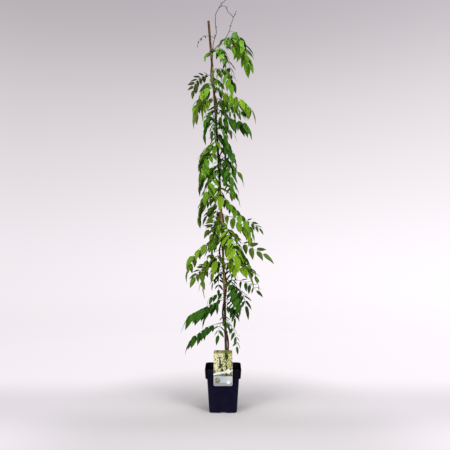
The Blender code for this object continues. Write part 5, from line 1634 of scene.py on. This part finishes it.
def build_leaf(spec, root, move, pattern, finishes):
    """One compound leaf: a tapered rachis with a swollen foot, and leaflets that fold, wave and curl."""
    rows = leaf_path(spec, root, *move)
    draw = random.Random(spec.name + " detail")
    shell = Shell()
    foot = root[0].lerp(rows[0][0], 0.5)
    spots = [foot] + [spot for spot, _, _, _ in rows]
    radii = [0.0019]
    for step in range(PATH_STEPS + 1):
        share = step / PATH_STEPS
        from_foot = share * spec.reach
        swell = 1.0 + 0.65 * math.exp(-((from_foot / 0.0045) ** 2))
        radii.append((0.00115 - 0.0005 * share) * swell)
    radii[-1] *= 0.8
    shell.add(*tube(spots, radii, sides=10), finish=2)

    faces, finish = pattern
    base_tint = draw.uniform(0.32, 0.62)
    blades = leaflets(spec, rows)
    for number, (foot, spot, axis, wide, length, hand) in enumerate(blades):
        age = number / max(1, len(blades) - 1)
        axis, wide, length = varied(foot, axis, wide, length, draw)
        points, uv = blade_points(
            foot, axis, wide, length, hand, full=FULL_WIDTH[spec.tone] * draw.uniform(0.92, 1.06),
            fold=FOLD[spec.tone] + draw.uniform(-0.08, 0.10), wave=draw.uniform(0.006, 0.016),
            phase=draw.random(), twist=draw.uniform(-0.22, 0.22), recurve=draw.uniform(0.05, 0.22),
        )
        tint = min(1.0, max(0.0, base_tint + 0.25 * (age - 0.5) + draw.uniform(-0.34, 0.34)))
        shell.add(points, faces, finish=finish, uv=uv, tint=tint)
        end = Vector(points[-2])
        stalk = [spot, Vector(foot).lerp(end, 0.5), end, end + axis * length * 0.03]
        shell.add(*tube(stalk, [0.00062, 0.00058, 0.00050, 0.00022], sides=6), finish=2, tint=tint)
    replaced = [] if spec in INNER_LEAVES else [spec.name]
    shell.piece("wisteria_" + spec.name, finishes, replaced, sharp=55.0, leaf_map=True)


# Studio


def sweep_finish():
    """Pale lilac-grey paper that glows softly with painted light, brightest low on the wall and darker
    towards the top and the left, with painted shade in a band across the floor behind the pot and in front of
    the pot.
    """
    made, sheet, shader = new_finish("studio paper", 0.9, Specular_IOR_Level=0.1, Emission_Strength=1.0)
    place = sheet.place()
    across, deep, height = sheet.parts(place)
    middle = sheet.math("SQRT", sheet.add(sheet.times(across, across), sheet.times(deep, deep)))
    far = sheet.spread(middle, FLOOR_LIT, FLOOR_GLOW)
    # Painted light: the glow is brightest low on the wall and darker towards the top
    painted_light_low_wall = sheet.blend(sheet.spread(height, 0.25, 2.2), (0.905, 0.855, 0.900), (0.735, 0.69, 0.725))
    wall = sheet.blend(sheet.spread(height, 1.6, 3.9), painted_light_low_wall, (0.46, 0.425, 0.455))
    # Painted light: the glow grows brighter from left to right
    painted_light_rightward = sheet.spread(across, -2.2, 2.4, 0.985, 1.16, smooth=False)
    wall = sheet.blend(1.0, wall, sheet.joined(painted_light_rightward, painted_light_rightward, painted_light_rightward), "MULTIPLY")
    # Painted shade: a darker band across the floor just behind the pot, in the glow and in the paper's colour
    band = sheet.rest(sheet.spread(sheet.absolute(sheet.add(deep, -0.06)), 0.05, 0.55))
    band = sheet.times(band, sheet.spread(middle, 3.0, 1.6))
    wall = sheet.blend(sheet.times(band, 0.17), wall, BLACK)
    # Painted shade: darker glow and paper on the floor in front of the pot, strongest near its middle line
    beside = sheet.rest(sheet.spread(sheet.absolute(across), 0.25, 1.30))
    painted_shade_in_front = sheet.times(sheet.spread(deep, 0.08, -0.26), sheet.spread(beside, 0.0, 1.0, 0.0, 0.20))
    wall = sheet.blend(painted_shade_in_front, wall, BLACK)
    # Painted shade: the glow a little darker at the foot of the wall
    wall = sheet.blend(sheet.spread(height, 0.20, 0.0, 0.0, 0.02), wall, BLACK)
    seen = sheet.put("ShaderNodeLightPath").outputs["Is Camera Ray"]
    glow = sheet.times(far, sheet.spread(seen, 0.0, 1.0, WALL_FILL, 1.0))
    # Painted shade: the paper's colour is darker along the same band
    paper = sheet.blend(sheet.times(band, 0.10), (0.66, 0.635, 0.645), (0.50, 0.475, 0.475))
    paper = sheet.blend(painted_shade_in_front, paper, BLACK)
    cloud = sheet.patches(place, 0.9, 0.30, 0.70)
    paper = sheet.blend(sheet.times(cloud, 0.04), paper, (0.56, 0.54, 0.55))
    sheet.feed(shader["Base Color"], sheet.blend(far, paper, BLACK))
    sheet.feed(shader["Emission Color"], sheet.blend(glow, BLACK, wall))
    return made


def build_stage():
    profile = [(0.0, 0.0), (SWEEP_RADIUS - SWEEP_BEND, 0.0)]
    for step in range(1, 13):
        angle = math.pi / 2 * step / 12
        inset = SWEEP_BEND * (1 - math.sin(angle))
        profile.append((SWEEP_RADIUS - inset, SWEEP_BEND * (1 - math.cos(angle))))
    profile.append((SWEEP_RADIUS, SWEEP_HEIGHT))
    steps = SWEEP_SIDES
    points = [(0.0, 0.0, 0.0)]
    for radius, height in profile[1:]:
        for step in range(steps):
            angle = math.tau * step / steps
            points.append((radius * math.cos(angle), radius * math.sin(angle), height))
    faces = [(0, 1 + i, 1 + (i + 1) % steps) for i in range(steps)]
    faces += [tuple(1 + i for i in f) for f in ring_faces(len(profile) - 1, steps)]
    mesh = bpy.data.meshes.new("studio_sweep")
    mesh.from_pydata(points, [], faces)
    mesh.shade_smooth()
    mesh.materials.append(sweep_finish())
    sweep = bpy.data.objects.new("studio_sweep", mesh)
    bpy.context.scene.collection.objects.link(sweep)


def soft_light(name, spot, aim, size, watts, color=(1.0, 1.0, 1.0)):
    light = bpy.data.lights.new(name, "AREA")
    light.shape = "RECTANGLE"
    light.size, light.size_y = size
    light.energy = watts
    light.color = color
    obj = bpy.data.objects.new(name, light)
    obj.location = spot
    obj.rotation_euler = (Vector(aim) - Vector(spot)).to_track_quat("-Z", "Y").to_euler()
    obj.visible_camera = False
    bpy.context.scene.collection.objects.link(obj)


def build_lights_and_camera():
    soft_light("left softbox", (-1.9, -2.3, 1.7), (0.0, 0.0, 0.8), (1.2, 1.8), 52)
    soft_light("right softbox", (1.9, -2.3, 1.7), (0.0, 0.0, 0.8), (1.2, 1.8), 64)
    soft_light("top softbox", (0.0, -0.4, 3.6), (0.0, 0.0, 0.0), (2.4, 2.4), 90)
    world = bpy.data.worlds.new("studio")
    world.use_nodes = True
    world.node_tree.nodes["Background"].inputs["Color"].default_value = (0.98, 0.97, 1.0, 1.0)
    world.node_tree.nodes["Background"].inputs["Strength"].default_value = 0.36
    bpy.context.scene.world = world
    bpy.context.scene.view_settings.view_transform = "Standard"

    lens = bpy.data.cameras.new("photo view")
    lens.lens = CAMERA_LENS
    lens.sensor_width = 36.0
    camera = bpy.data.objects.new("photo view", lens)
    camera.location = CAMERA_SPOT
    camera.rotation_euler = (math.radians(90 + CAMERA_PITCH_UP), 0.0, 0.0)
    bpy.context.scene.collection.objects.link(camera)
    bpy.context.scene.camera = camera


def main():
    build_shader_groups()
    build_pot()
    build_soil()
    build_cane()
    build_shoot("left_shoot", "shoot_left", [(SHOOT_LEFT, LEFT_BUDS)])
    build_shoot("right_shoot", "shoot_right", [(SHOOT_RIGHT, RIGHT_BUDS), (SHOOT_FORK, FORK_BUDS)])
    knots = ((-60, 0.007, 0.0), (-20, 0.008, 0.006), (-110, 0.007, 0.0), (-80, 0.019, 0.0145))
    for number, (z, (turn, tail, bow)) in enumerate(zip(TIE_HEIGHTS, knots), 1):
        build_tie(number, z, turn, tail, bow)
    build_card()
    build_strap()
    build_button()

    routes = {"shoot_left": SHOOT_LEFT, "shoot_right": SHOOT_RIGHT}
    shoots = {name: smooth_route(route, COARSE_STEPS) for name, route in routes.items()}
    finishes = {
        tone: [leaf_face(tone, True), leaf_face(tone, False), leaf_stalk(tone)] for tone in LEAF_TONES
    }
    pattern = blade_pattern()
    roots = []
    for spec in LEAVES:
        root = root_of(spec, shoots)
        move = found_move(spec, root)
        build_leaf(spec, root, move, pattern, finishes[OTHER_TONES.get(spec.name, spec.tone)])
        roots.append((spec, root, leaf_path(spec, root, *move)[0][0]))
    for spec in INNER_LEAVES:
        root = root_of(spec, shoots)
        build_leaf(spec, root, (0, 0), pattern, finishes[spec.tone])
        roots.append((spec, root, leaf_path(spec, root, 0, 0)[0][0]))
    build_stem(roots)

    build_stage()
    build_lights_and_camera()


main()
